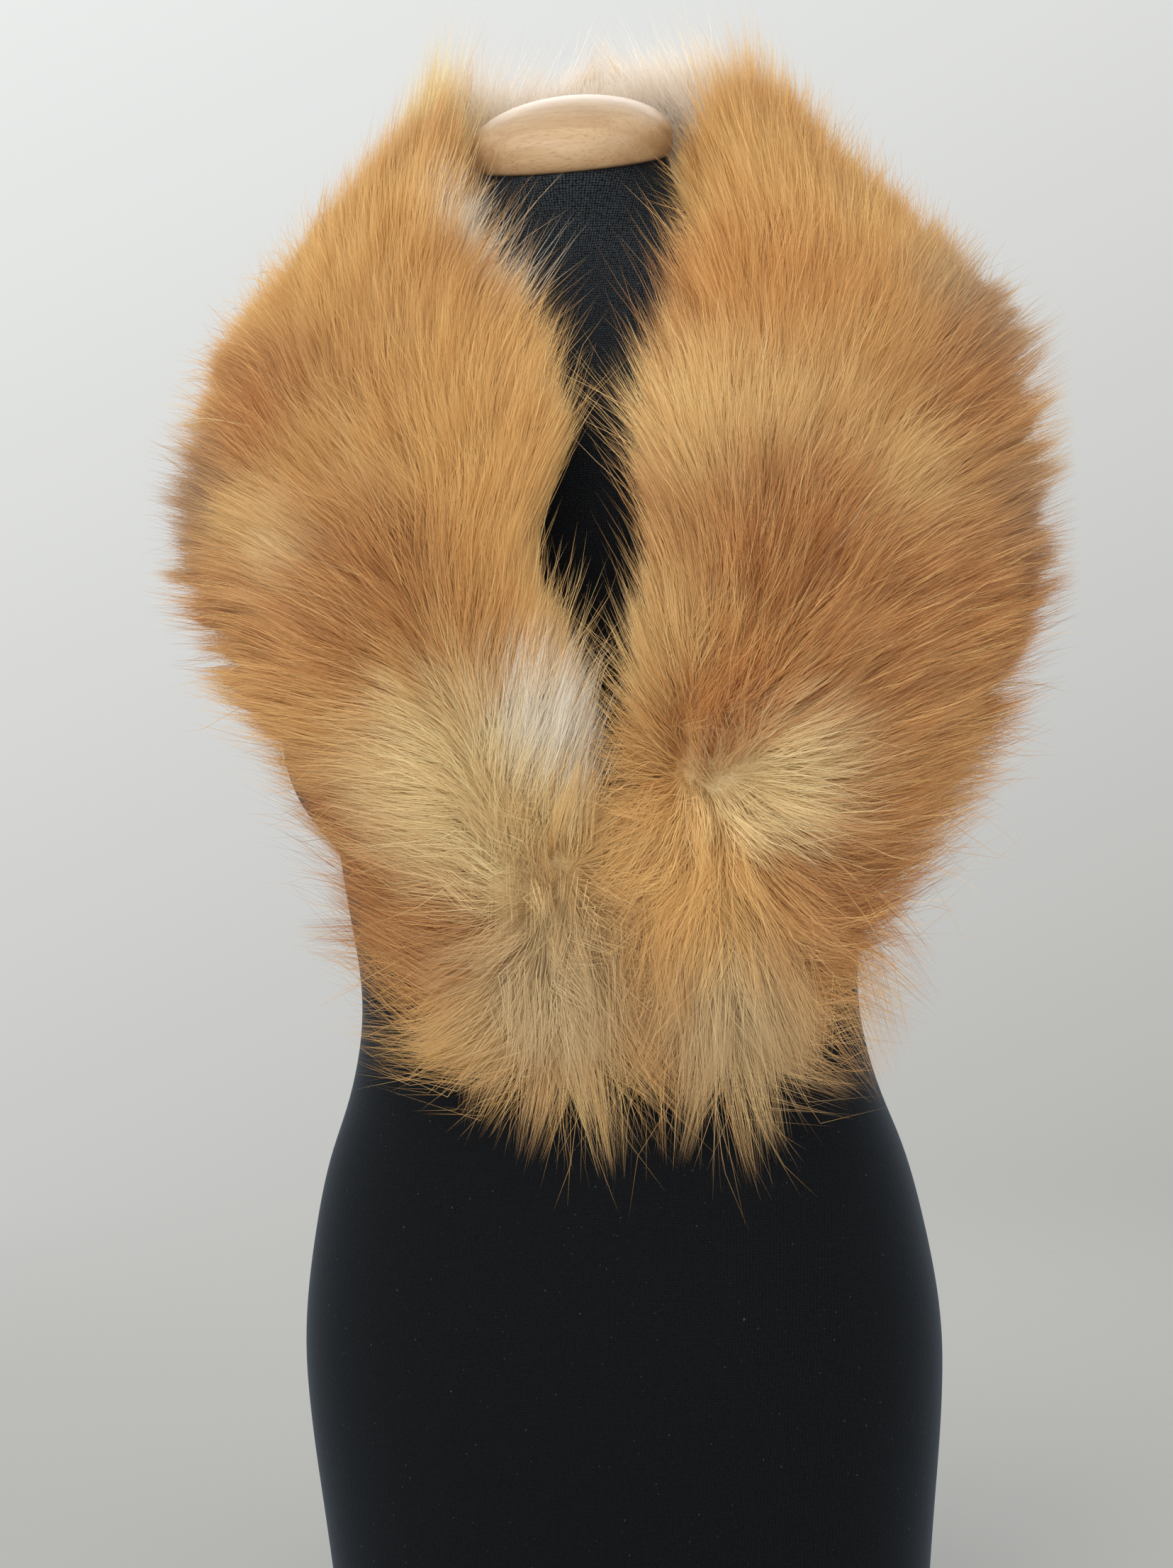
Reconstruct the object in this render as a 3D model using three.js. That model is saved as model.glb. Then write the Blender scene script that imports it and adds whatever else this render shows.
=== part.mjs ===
// Fur collar stole: two red fox pelts sewn together at the centre back, worn on a limbless
// dress form with a turned wooden neck cap. Millimetres, +Z up. The form faces -Y and stands
// on its flat bottom at Z = 0. Left and right are as seen from the front.

import * as THREE from "three";

// Driving dimensions of the dress form.
const waistHeight = 370;
const bustHeight = 522;
const shoulderHeight = 735;
const neckTopHeight = 839;
const formSides = 40;
const ringStep = 24; // path length from one ring of the form to the next
const bodySquareness = 2.3; // 2 is an ellipse, more is squarer

// The form from the floor up: half its width, and how far it reaches to the front and the back.
const formSections = [
  { at: "bottom", z: 0, halfWidth: 166, front: 104, back: 112 },
  { at: "thigh", z: 60, halfWidth: 172, front: 108, back: 118 },
  { at: "hip", z: 150, halfWidth: 181, front: 113, back: 126 },
  { at: "hip top", z: 200, halfWidth: 180, front: 113, back: 126 },
  { at: "belly", z: 277, halfWidth: 166, front: 107, back: 110 },
  { at: "high hip", z: 320, halfWidth: 149, front: 99, back: 99 },
  { at: "waist", z: waistHeight, halfWidth: 141, front: 92, back: 89 },
  { at: "under bust", z: 433, halfWidth: 149, front: 97, back: 91 },
  { at: "bust", z: bustHeight, halfWidth: 158, front: 105, back: 100 },
  { at: "chest", z: 620, halfWidth: 164, front: 102, back: 108 },
  { at: "armhole", z: 680, halfWidth: 168, front: 90, back: 108 },
  { at: "shoulder tip", z: shoulderHeight, halfWidth: 178, front: 67, back: 88 },
  { at: "shoulder", z: 753, halfWidth: 156, front: 59, back: 76 },
  { at: "shoulder slope", z: 771, halfWidth: 113, front: 56, back: 69 },
  { at: "neck base", z: 789, halfWidth: 76, front: 57, back: 62 },
  { at: "neck", z: 808, halfWidth: 57, front: 58, back: 52 },
  { at: "neck top", z: neckTopHeight, halfWidth: 52, front: 64, back: 40 },
];

// The bust is one soft lobe on each side, blended into the body.
const bustLobe = { x: 92, y: -70, z: bustHeight, halfWidth: 72, depth: 74, halfHeight: 80 };
const bustBlend = 14;

// The neck leans forward: its top is cut along a slanted plane, and the cap lies on that plane.
const neckLean = THREE.MathUtils.degToRad(17);
const neckLeanFrom = 771;
const neckTopCentre = { y: -12, z: neckTopHeight };

// The turned wooden cap.
const cap = { rimRadius: 53.5, radius: 57, bellyHeight: 13, height: 38, sides: 40 };
const restGap = 0.3;
const capMargin = 8; // the pelts keep off the cap's rim from this far below it

// The pelts. Each is a band from the centre back seam, over the shoulder, to its front end. The
// leather is the under surface and the pile stands on it, so the solid is as deep as the fur.
const peltRings = 52; // along the band
const peltStrips = 22; // across it
const leatherClearance = 1; // from the form, at the corners of the leather's faces
const faceClearance = 0.5; // and at the middle of the faces and their sides
const pileRoundness = 2.6; // the profile of the pile across the band
const endTaper = 0.27; // share of the band over which the pile thins out at its front end
const seamGap = 0.3;
const seamFade = 25; // the hair of the two pelts meets in a crest, 1 / 25 of the band wide

// Each row is a station along the band: where the leather lies at the neck edge, in the middle
// and at the outer edge, how deep the pile is there, and how far a tuft stands up at the neck edge.
const leftPelt = {
  name: "pelt_left",
  side: -1,
  colour: 0xc98a45,
  whorl: { along: 0.83, across: 0.24 },
  rows: [
    { at: "seam", neck: [0, 66, 890], middle: [0, 92, 800], outer: [0, 130, 706], pile: 48, tuft: 34 },
    { at: "nape", neck: [-48, 52, 886], middle: [-76, 76, 798], outer: [-104, 118, 716], pile: 46, tuft: 0 },
    { at: "neck", neck: [-78, 18, 862], middle: [-112, 24, 789], outer: [-166, 64, 718], pile: 36, tuft: 36 },
    { at: "shoulder", neck: [-64, -34, 834], middle: [-130, -24, 774], outer: [-204, 12, 700], pile: 34, tuft: 0 },
    { at: "shoulder front", neck: [-30, -74, 790], middle: [-112, -68, 724], outer: [-208, -12, 676], pile: 43, tuft: 0 },
    { at: "chest top", neck: [-14, -90, 738], middle: [-108, -94, 672], outer: [-210, -16, 636], pile: 46, tuft: 0 },
    { at: "chest", neck: [14, -112, 672], middle: [-92, -119, 617], outer: [-200, -28, 600], pile: 48, tuft: 0 },
    { at: "bust top", neck: [4, -132, 612], middle: [-76, -139, 562], outer: [-162, -72, 556], pile: 48, tuft: 0 },
    { at: "bust", neck: [28, -142, 552], middle: [-50, -148, 504], outer: [-128, -112, 496], pile: 47, tuft: 0 },
    { at: "under bust", neck: [42, -138, 452], middle: [-36, -134, 422], outer: [-114, -100, 428], pile: 45, tuft: 0 },
    { at: "front end", neck: [45, -116, 346], middle: [-20, -112, 336], outer: [-90, -102, 362], pile: 40, tuft: 0 },
  ],
};
const rightPelt = {
  name: "pelt_right",
  side: 1,
  colour: 0xc8843f,
  whorl: { along: 0.79, across: 0.2 },
  rows: [
    { at: "seam", neck: [0, 66, 890], middle: [0, 92, 800], outer: [0, 130, 706], pile: 48, tuft: 34 },
    { at: "nape", neck: [48, 54, 888], middle: [76, 80, 808], outer: [106, 122, 722], pile: 48, tuft: 0 },
    { at: "neck", neck: [84, 22, 864], middle: [122, 28, 798], outer: [182, 68, 734], pile: 44, tuft: 12 },
    { at: "shoulder", neck: [68, -26, 836], middle: [134, -14, 776], outer: [220, 20, 720], pile: 46, tuft: 0 },
    { at: "shoulder front", neck: [60, -66, 794], middle: [138, -62, 738], outer: [232, -4, 688], pile: 46, tuft: 0 },
    { at: "chest top", neck: [54, -88, 738], middle: [136, -90, 684], outer: [236, -4, 644], pile: 47, tuft: 0 },
    { at: "chest", neck: [42, -116, 676], middle: [130, -116, 630], outer: [232, -8, 600], pile: 48, tuft: 0 },
    { at: "bust top", neck: [56, -132, 610], middle: [126, -136, 572], outer: [222, -20, 556], pile: 49, tuft: 0 },
    { at: "bust", neck: [56, -142, 552], middle: [118, -146, 508], outer: [208, -38, 502], pile: 49, tuft: 0 },
    { at: "under bust", neck: [56, -138, 462], middle: [112, -124, 440], outer: [190, -58, 446], pile: 47, tuft: 0 },
    { at: "front end", neck: [52, -116, 346], middle: [98, -104, 336], outer: [158, -74, 372], pile: 40, tuft: 0 },
  ],
};

// Where the two pelts meet in front, as X against height. Each keeps to its own side of it.
const meetingLine = [
  { z: 300, x: 48 },
  { z: 440, x: 50 },
  { z: 560, x: 43 },
  { z: 670, x: 29 },
  { z: 800, x: 16 },
];

// Locks of fur, as soft ridges that rise to their tips and lie along the lie of the hair.
const lock = { length: 62, width: 25, rise: 13, sweep: 9, reach: 17, spacingAlong: 36, spacingAcross: 21 };
const endReach = 2.4; // the locks at the front end are this many times longer
const hairSpread = { neckEdge: -38, outerEdge: 62 }; // degrees off the band's own direction

const tuftLie = new THREE.Vector3(0, 0, 1);

const jersey = new THREE.MeshStandardMaterial({ color: 0x14171c, roughness: 0.9, metalness: 0 });
const beech = new THREE.MeshStandardMaterial({ color: 0xd3a878, roughness: 0.45, metalness: 0 });

// A value between the rows of a table, on a smooth curve through them. at is counted in rows.
function between(values, at) {
  const i = Math.min(Math.max(Math.floor(at), 0), values.length - 2);
  const u = at - i;
  const a = values[i];
  const b = values[i + 1];
  const before = values[i - 1] ?? 2 * a - b;
  const after = values[i + 2] ?? 2 * b - a;
  const slopeA = (b - before) / 2;
  const slopeB = (after - a) / 2;
  const d = b - a;
  return a + u * (slopeA + u * (3 * d - 2 * slopeA - slopeB + u * (slopeA + slopeB - 2 * d)));
}

function smooth(x) {
  const u = Math.min(Math.max(x, 0), 1);
  return u * u * (3 - 2 * u);
}

// The form's section at a height. Rows aren't evenly spaced, so the row number is found first.
function formSection(z) {
  const rows = formSections;
  let i = 0;
  while (i < rows.length - 2 && rows[i + 1].z < z) i += 1;
  const share = Math.min(Math.max((z - rows[i].z) / (rows[i + 1].z - rows[i].z), 0), 1);
  const column = (name) => between(rows.map((row) => row[name]), i + share);
  return { halfWidth: column("halfWidth"), front: column("front"), back: column("back") };
}

// How far the bust lobe on one side reaches from the form's axis, in a direction at a height.
function lobeReach(side, dirX, dirY, z) {
  const rise = (z - bustLobe.z) / bustLobe.halfHeight;
  if (Math.abs(rise) >= 1) return 0;
  const sliceShare = Math.sqrt(1 - rise * rise);
  const halfWidth = bustLobe.halfWidth * sliceShare;
  const depth = bustLobe.depth * sliceShare;
  const ux = dirX / halfWidth;
  const uy = dirY / depth;
  const cx = (side * bustLobe.x) / halfWidth;
  const cy = bustLobe.y / depth;
  const a = ux * ux + uy * uy;
  const b = ux * cx + uy * cy;
  const root = b * b - a * (cx * cx + cy * cy - 1);
  return root > 0 ? (b + Math.sqrt(root)) / a : 0;
}

function softMax(a, b, blend) {
  const overlap = Math.max(blend - Math.abs(a - b), 0);
  return Math.max(a, b) + (overlap * overlap) / (4 * blend);
}

// How far the jersey lies from the form's axis, in a direction at a height.
function formReach(angle, z) {
  const { halfWidth, front, back } = formSection(z);
  const c = Math.cos(angle);
  const s = Math.sin(angle);
  const depth = s < 0 ? front : back;
  const n = THREE.MathUtils.lerp(bodySquareness, 2, smooth((z - shoulderHeight) / 60));
  const sum = (Math.abs(c) / halfWidth) ** n + (Math.abs(s) / depth) ** n;
  const body = sum ** (-1 / n);
  const lobe = Math.max(lobeReach(-1, c, s, z), lobeReach(1, c, s, z));
  return lobe > 0 ? softMax(body, lobe, bustBlend) : body;
}

// How far a point at level z on the form is raised where the neck leans.
function leanRise(y, z) {
  const share = smooth((z - neckLeanFrom) / (neckTopHeight - neckLeanFrom));
  return share * Math.tan(neckLean) * (y - neckTopCentre.y);
}

// Distance outside the form and its cap, measured level. Negative is inside.
function outsideForm(p) {
  let z = p.z;
  for (let i = 0; i < 3; i += 1) z = p.z - leanRise(p.y, z);
  const fromBody = Math.hypot(p.x, p.y) - formReach(Math.atan2(p.y, p.x), Math.min(z, neckTopHeight));
  if (z < neckTopHeight - capMargin) return fromBody;
  const capY = neckTopCentre.y - (p.z - neckTopHeight) * Math.tan(neckLean);
  return Math.min(fromBody, Math.hypot(p.x, p.y - capY) - cap.radius);
}

// Moves a point that lies in the form, or too near it, straight out to the clearance.
function clearOfForm(point, clearance) {
  const p = point.clone();
  const probe = 0.5;
  for (let i = 0; i < 14; i += 1) {
    const here = outsideForm(p);
    const slope = new THREE.Vector3(
      outsideForm(p.clone().setX(p.x + probe)) - here,
      outsideForm(p.clone().setY(p.y + probe)) - here,
      outsideForm(p.clone().setZ(p.z + probe)) - here,
    ).divideScalar(probe);
    const steepness = Math.max(slope.length(), 0.3);
    const short = clearance - here / steepness;
    if (short <= 0.01) break;
    p.addScaledVector(slope.normalize(), Math.max(0.7 * short, 0.02));
  }
  return p;
}

// A closed mesh from a list of points and triangles of point numbers.
function meshOf(name, points, triangles, material) {
  const geometry = new THREE.BufferGeometry();
  const position = points.flatMap((p) => [p.x, p.y, p.z]);
  geometry.setAttribute("position", new THREE.Float32BufferAttribute(position, 3));
  geometry.setIndex(triangles.flat());
  geometry.computeVertexNormals();
  const mesh = new THREE.Mesh(geometry, material);
  mesh.name = name;
  return mesh;
}

// Levels of the form's rings, closer together where the shoulders run nearly flat.
function ringLevels() {
  const levels = [0];
  let travelled = 0;
  let last = formSection(0);
  for (let z = 1; z < neckTopHeight; z += 1) {
    const now = formSection(z);
    travelled += Math.hypot(1, now.halfWidth - last.halfWidth);
    last = now;
    if (travelled >= ringStep && neckTopHeight - z > 5) {
      levels.push(z);
      travelled = 0;
    }
  }
  return [...levels, neckTopHeight];
}

function dressForm() {
  const points = [];
  const triangles = [];
  const levels = ringLevels();
  for (const z of levels) {
    const { halfWidth, front, back } = formSection(z);
    for (let k = 0; k < formSides; k += 1) {
      const turn = (2 * Math.PI * k) / formSides;
      const depth = Math.sin(turn) < 0 ? front : back;
      const angle = Math.atan2(depth * Math.sin(turn), halfWidth * Math.cos(turn));
      const reach = formReach(angle, z);
      const y = reach * Math.sin(angle);
      points.push(new THREE.Vector3(reach * Math.cos(angle), y, z + leanRise(y, z)));
    }
  }
  for (let ring = 0; ring < levels.length - 1; ring += 1) {
    for (let k = 0; k < formSides; k += 1) {
      const a = ring * formSides + k;
      const b = ring * formSides + ((k + 1) % formSides);
      triangles.push([a, b, b + formSides], [a, b + formSides, a + formSides]);
    }
  }
  const bottomCentre = points.length;
  points.push(new THREE.Vector3(0, 0, 0));
  points.push(new THREE.Vector3(0, neckTopCentre.y, neckTopCentre.z));
  const topRing = (levels.length - 1) * formSides;
  for (let k = 0; k < formSides; k += 1) {
    const next = (k + 1) % formSides;
    triangles.push([bottomCentre, next, k], [bottomCentre + 1, topRing + k, topRing + next]);
  }
  return meshOf("form_torso", points, triangles, jersey);
}

// The cap's profile turned about its own axis: a narrow rim, a round belly and a flat dome.
function neckCap() {
  const profile = [new THREE.Vector2(0, 0), new THREE.Vector2(cap.rimRadius, 0)];
  const rimSteps = 3;
  for (let i = 1; i < rimSteps; i += 1) {
    const turn = (Math.PI / 2) * (i / rimSteps);
    const r = cap.rimRadius + (cap.radius - cap.rimRadius) * Math.sin(turn);
    profile.push(new THREE.Vector2(r, cap.bellyHeight * (1 - Math.cos(turn))));
  }
  const domeSteps = 8;
  for (let i = 0; i < domeSteps; i += 1) {
    const turn = (Math.PI / 2) * (i / domeSteps);
    const y = cap.bellyHeight + (cap.height - cap.bellyHeight) * Math.sin(turn);
    profile.push(new THREE.Vector2(cap.radius * Math.cos(turn), y));
  }
  profile.push(new THREE.Vector2(0, cap.height));
  const mesh = new THREE.Mesh(new THREE.LatheGeometry(profile, cap.sides), beech);
  mesh.name = "neck_cap";
  mesh.rotation.x = Math.PI / 2;
  const seat = new THREE.Group();
  seat.add(mesh);
  seat.rotation.x = neckLean;
  seat.position.set(
    0,
    neckTopCentre.y - restGap * Math.sin(neckLean),
    neckTopCentre.z + restGap * Math.cos(neckLean),
  );
  return seat;
}

// The leather of a pelt. along runs from 0 at the seam to 1 at the front end, and across from
// 0 at the neck edge to 1 at the outer edge.
function leatherAt(pelt, along, across) {
  const at = along * (pelt.rows.length - 1);
  const point = (edge) =>
    new THREE.Vector3(...[0, 1, 2].map((axis) => between(pelt.rows.map((row) => row[edge][axis]), at)));
  return new THREE.Vector3()
    .addScaledVector(point("neck"), (2 * across - 1) * (across - 1))
    .addScaledVector(point("middle"), 4 * across * (1 - across))
    .addScaledVector(point("outer"), across * (2 * across - 1));
}

// The band's own directions at a place: forward along it, across it, and out of the body.
function bandFrame(pelt, along, across) {
  const step = 0.01;
  const low = (x) => Math.max(x - step, 0);
  const high = (x) => Math.min(x + step, 1);
  const forward = leatherAt(pelt, high(along), across).sub(leatherAt(pelt, low(along), across));
  const outward = leatherAt(pelt, along, high(across)).sub(leatherAt(pelt, along, low(across)));
  const normal = new THREE.Vector3().crossVectors(forward, outward).multiplyScalar(pelt.side);
  return { forward: forward.normalize(), outward: outward.normalize(), normal: normal.normalize() };
}

// The lie of the hair, in degrees from "up the band, towards the seam" round to its outer edge.
// It fans out from a whorl near the front end.
function hairAngle(pelt, along, across) {
  const fan = THREE.MathUtils.lerp(hairSpread.neckEdge, hairSpread.outerEdge, across);
  const beside = (across - pelt.whorl.across) * 230;
  const above = (pelt.whorl.along - along) * 780;
  const radial = THREE.MathUtils.radToDeg(Math.atan2(beside, above));
  return THREE.MathUtils.lerp(radial, fan, smooth(above / 260));
}

// A repeatable scatter from 0 to 1 for a pair of whole numbers.
function scatter(i, j) {
  const x = Math.sin(i * 127.1 + j * 311.7) * 43758.5453;
  return x - Math.floor(x);
}

// The places of a pelt's locks, on a staggered grid over the band.
function lockSeeds(pelt, length, width) {
  const seeds = [];
  const rows = Math.ceil(length / lock.spacingAlong);
  const columns = Math.ceil(width / lock.spacingAcross);
  for (let i = 0; i <= rows; i += 1) {
    for (let j = 0; j <= columns; j += 1) {
      const stagger = i % 2 ? 0.5 : 0;
      const along = (i + 0.5 * scatter(i, j)) / rows;
      const across = (j + stagger + 0.4 * scatter(j, i + 7)) / columns;
      const angle = hairAngle(pelt, along, across) + 16 * (scatter(i + 3, j) - 0.5);
      const size = 0.75 + 0.5 * scatter(i, j + 5);
      seeds.push({ along, across, angle: THREE.MathUtils.degToRad(angle), size });
    }
  }
  return seeds;
}

// How much of a lock there is at a place, from 0 in a parting to 1 at a tip.
function lockAt(seeds, length, width, along, across) {
  let most = 0;
  for (const seed of seeds) {
    const up = (seed.along - along) * length;
    const out = (across - seed.across) * width;
    const run = (up * Math.cos(seed.angle) + out * Math.sin(seed.angle)) / lock.length + 0.5;
    const off = (out * Math.cos(seed.angle) - up * Math.sin(seed.angle)) / lock.width;
    if (run > 0 && run < 1 && Math.abs(off) < 1) most = Math.max(most, seed.size * run * (1 - off * off));
  }
  return Math.min(most, 1);
}

// Keeps a point of a pelt on its own side of the back seam and of the meeting line in front.
function keepToOwnSide(pelt, p) {
  const last = meetingLine.length - 2;
  let i = 0;
  while (i < last && meetingLine[i + 1].z < p.z) i += 1;
  const a = meetingLine[i];
  const b = meetingLine[i + 1];
  const meetX = a.x + ((b.x - a.x) * (p.z - a.z)) / (b.z - a.z);
  const line = p.y > 0 ? 0 : meetX;
  const limit = line + (pelt.side * seamGap) / 2;
  if (pelt.side * (p.x - limit) < 0) p.x = limit;
  return p;
}

function bandLength(pelt) {
  const steps = 60;
  let length = 0;
  for (let i = 0; i < steps; i += 1) {
    length += leatherAt(pelt, i / steps, 0.5).distanceTo(leatherAt(pelt, (i + 1) / steps, 0.5));
  }
  return length;
}

function bandWidth(pelt) {
  const steps = 20;
  let width = 0;
  for (let j = 0; j < steps; j += 1) {
    width += leatherAt(pelt, 0.5, j / steps).distanceTo(leatherAt(pelt, 0.5, (j + 1) / steps));
  }
  return width;
}

// One pelt's grid: its places along and across the band, with the share of a lock at each.
function peltGrid(pelt) {
  const length = bandLength(pelt);
  const width = bandWidth(pelt);
  const seeds = lockSeeds(pelt, length, width);
  const grid = [];
  for (let i = 0; i <= peltRings; i += 1) {
    grid.push([]);
    for (let j = 0; j <= peltStrips; j += 1) {
      const along = i / peltRings;
      const across = (1 - Math.cos((Math.PI * j) / peltStrips)) / 2;
      const lockShare = lockAt(seeds, length, width, along, across);
      grid[i].push({ along, across, lockShare, ...bandFrame(pelt, along, across) });
    }
  }
  return grid;
}

// The under surface: the leather, with the locks that stand out past its edges.
function underSurface(pelt, grid) {
  const tufts = pelt.rows.map((row) => row.tuft);
  return grid.map((ring, i) =>
    ring.map(({ along, across, lockShare, forward, outward }, j) => {
      const rim = Math.abs(2 * across - 1) ** 6;
      const reach = lock.reach * lockShare * smooth(seamFade * along) * rim;
      const tuft = Math.max(between(tufts, along * (pelt.rows.length - 1)), 0) * (1 - across) ** 8;
      const p = clearOfForm(leatherAt(pelt, along, across), leatherClearance);
      p.addScaledVector(outward, Math.sign(2 * across - 1) * reach);
      p.addScaledVector(tuftLie, tuft);
      if (i === peltRings) p.addScaledVector(forward, endReach * lock.reach * lockShare);
      return i > 0 ? clearOfForm(p, leatherClearance) : p;
    }),
  );
}

// The form is round and the under surface is made of flat faces, so each face's middle and sides
// are kept off the form too. Their corners move with them.
function liftOffForm(under) {
  const lift = (corners) => {
    const middle = corners.reduce((sum, p) => sum.add(p), new THREE.Vector3()).divideScalar(corners.length);
    const push = clearOfForm(middle, faceClearance).sub(middle);
    if (push.length() > 0.02) corners.forEach((p) => p.add(push));
  };
  for (let round = 0; round < 6; round += 1) {
    for (let i = 1; i < peltRings; i += 1) {
      for (let j = 0; j < peltStrips; j += 1) {
        const [a, b, c, d] = [under[i][j], under[i + 1][j], under[i + 1][j + 1], under[i][j + 1]];
        lift([a, b]);
        lift([a, d]);
        lift([a, c]);
        lift([b, d]);
      }
    }
  }
}

// A pelt is closed by its under surface, by the pile over it, which shares the long edges and
// the front end, and by a flat strip at the seam.
function foxPelt(pelt) {
  const grid = peltGrid(pelt);
  const under = underSurface(pelt, grid);
  liftOffForm(under);
  const pileDepths = pelt.rows.map((row) => row.pile);
  const seamX = (pelt.side * seamGap) / 2;
  const points = [];
  const leather = [];
  const pile = [];
  grid.forEach((ring, i) => {
    leather.push([]);
    pile.push([]);
    ring.forEach(({ along, across, lockShare, forward, outward, normal }, j) => {
      const edge = i > 0 ? keepToOwnSide(pelt, under[i][j]) : under[i][j].setX(seamX);
      leather[i].push(points.length);
      points.push(edge);
      if (j === 0 || j === peltStrips || i === peltRings) {
        pile[i].push(points.length - 1);
        return;
      }
      const profile = (1 - Math.abs(2 * across - 1) ** pileRoundness) ** (1 / pileRoundness);
      const toEnd = Math.max((along - (1 - endTaper)) / endTaper, 0);
      const taper = Math.sqrt(Math.max(1 - toEnd ** 2, 0));
      const depth = between(pileDepths, along * (pelt.rows.length - 1)) * profile * taper;
      const lie = THREE.MathUtils.degToRad(hairAngle(pelt, along, across));
      const crest = THREE.MathUtils.lerp(1, lockShare, smooth(seamFade * along));
      const swell = (crest - 0.4) * taper * profile;
      const top = edge.clone().addScaledVector(normal, depth + lock.rise * swell);
      top.addScaledVector(forward, -lock.sweep * swell * Math.cos(lie));
      top.addScaledVector(outward, lock.sweep * swell * Math.sin(lie));
      pile[i].push(points.length);
      points.push(i > 0 ? keepToOwnSide(pelt, top) : top.setX(seamX));
    });
  });
  const triangles = [];
  const quad = (a, b, c, d) => {
    const [p, q, r, s] = pelt.side > 0 ? [a, d, c, b] : [a, b, c, d];
    if (q !== r) triangles.push([p, q, r]);
    if (r !== s && s !== p) triangles.push([p, r, s]);
  };
  for (let i = 0; i < peltRings; i += 1) {
    for (let j = 0; j < peltStrips; j += 1) {
      quad(leather[i][j], leather[i + 1][j], leather[i + 1][j + 1], leather[i][j + 1]);
      quad(pile[i][j], pile[i][j + 1], pile[i + 1][j + 1], pile[i + 1][j]);
    }
  }
  for (let j = 0; j < peltStrips; j += 1) {
    quad(leather[0][j], leather[0][j + 1], pile[0][j + 1], pile[0][j]);
  }
  const fur = new THREE.MeshStandardMaterial({ color: pelt.colour, roughness: 0.85, metalness: 0 });
  return meshOf(pelt.name, points, triangles, fur);
}

const stole = new THREE.Group();
stole.add(dressForm(), neckCap(), foxPelt(leftPelt), foxPelt(rightPelt));

export default stole;
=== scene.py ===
# Fur collar stole of two red fox pelts on a limbless dress form with a beech neck cap.
# Metres, +Z up, the form faces -Y. Left and right are as seen from the front.

import math

import bpy
import numpy as np
from mathutils import Matrix, Vector
from mathutils.bvhtree import BVHTree


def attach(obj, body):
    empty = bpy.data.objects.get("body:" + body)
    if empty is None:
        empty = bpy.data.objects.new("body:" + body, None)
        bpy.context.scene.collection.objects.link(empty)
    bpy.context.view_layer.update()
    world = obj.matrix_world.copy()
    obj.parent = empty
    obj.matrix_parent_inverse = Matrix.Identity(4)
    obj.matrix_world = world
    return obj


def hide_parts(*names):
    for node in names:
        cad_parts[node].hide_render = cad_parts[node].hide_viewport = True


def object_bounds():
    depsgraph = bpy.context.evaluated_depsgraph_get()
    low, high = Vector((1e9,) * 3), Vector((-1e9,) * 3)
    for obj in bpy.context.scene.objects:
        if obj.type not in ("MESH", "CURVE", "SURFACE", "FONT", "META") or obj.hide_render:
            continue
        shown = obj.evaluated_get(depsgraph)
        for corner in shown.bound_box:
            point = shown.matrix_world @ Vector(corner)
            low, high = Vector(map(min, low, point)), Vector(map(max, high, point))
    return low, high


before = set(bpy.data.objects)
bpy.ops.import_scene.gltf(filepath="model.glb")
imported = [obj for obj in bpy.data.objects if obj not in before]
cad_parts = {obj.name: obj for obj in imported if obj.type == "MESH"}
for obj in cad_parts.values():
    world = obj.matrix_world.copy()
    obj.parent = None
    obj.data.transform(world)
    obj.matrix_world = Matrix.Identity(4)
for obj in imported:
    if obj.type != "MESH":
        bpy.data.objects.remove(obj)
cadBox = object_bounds()
mm = 0.001


# small helpers


def toLinear(hexColour):
    channels = [int(hexColour[i : i + 2], 16) / 255 for i in (1, 3, 5)]
    return np.array([c / 12.92 if c <= 0.04045 else ((c + 0.055) / 1.055) ** 2.4 for c in channels])


def rgba(hexColour):
    return (*toLinear(hexColour), 1)


def addNode(material, kind, values=None, links=None, **settings):
    node = material.node_tree.nodes.new("ShaderNode" + kind)
    for name, value in settings.items():
        setattr(node, name, value)
    for name, value in (values or {}).items():
        node.inputs[name].default_value = value
    for name, source in (links or {}).items():
        material.node_tree.links.new(source, node.inputs[name])
    return node


def newMaterial(name, **sockets):
    material = bpy.data.materials.new(name)
    material.use_nodes = True
    shader = material.node_tree.nodes["Principled BSDF"]
    for socket, value in sockets.items():
        shader.inputs[socket.replace("_", " ")].default_value = value
    return material, shader


def link(material, source, target):
    material.node_tree.links.new(source, target)


def startPiece():
    if bpy.context.mode != "OBJECT":
        bpy.ops.object.mode_set(mode="OBJECT")
    bpy.ops.object.select_all(action="DESELECT")


def unit(vectors):
    return vectors / np.maximum(np.linalg.norm(vectors, axis=-1, keepdims=True), 1e-9)


def smooth(x):
    u = np.clip(x, 0, 1)
    return u * u * (3 - 2 * u)


def mix(a, b, share):
    return a + (b - a) * share


# camera, floor and light

view = {  # metres, degrees and, for lens and sensor, millimetres
    "azimuth": 12,
    "aside": -8.1 * mm,
    "distance": 1.6,
    "height": 0.49,
    "roll": 2.07,
    "lens": 64.66,
    "sensor": 36,
}


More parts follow.
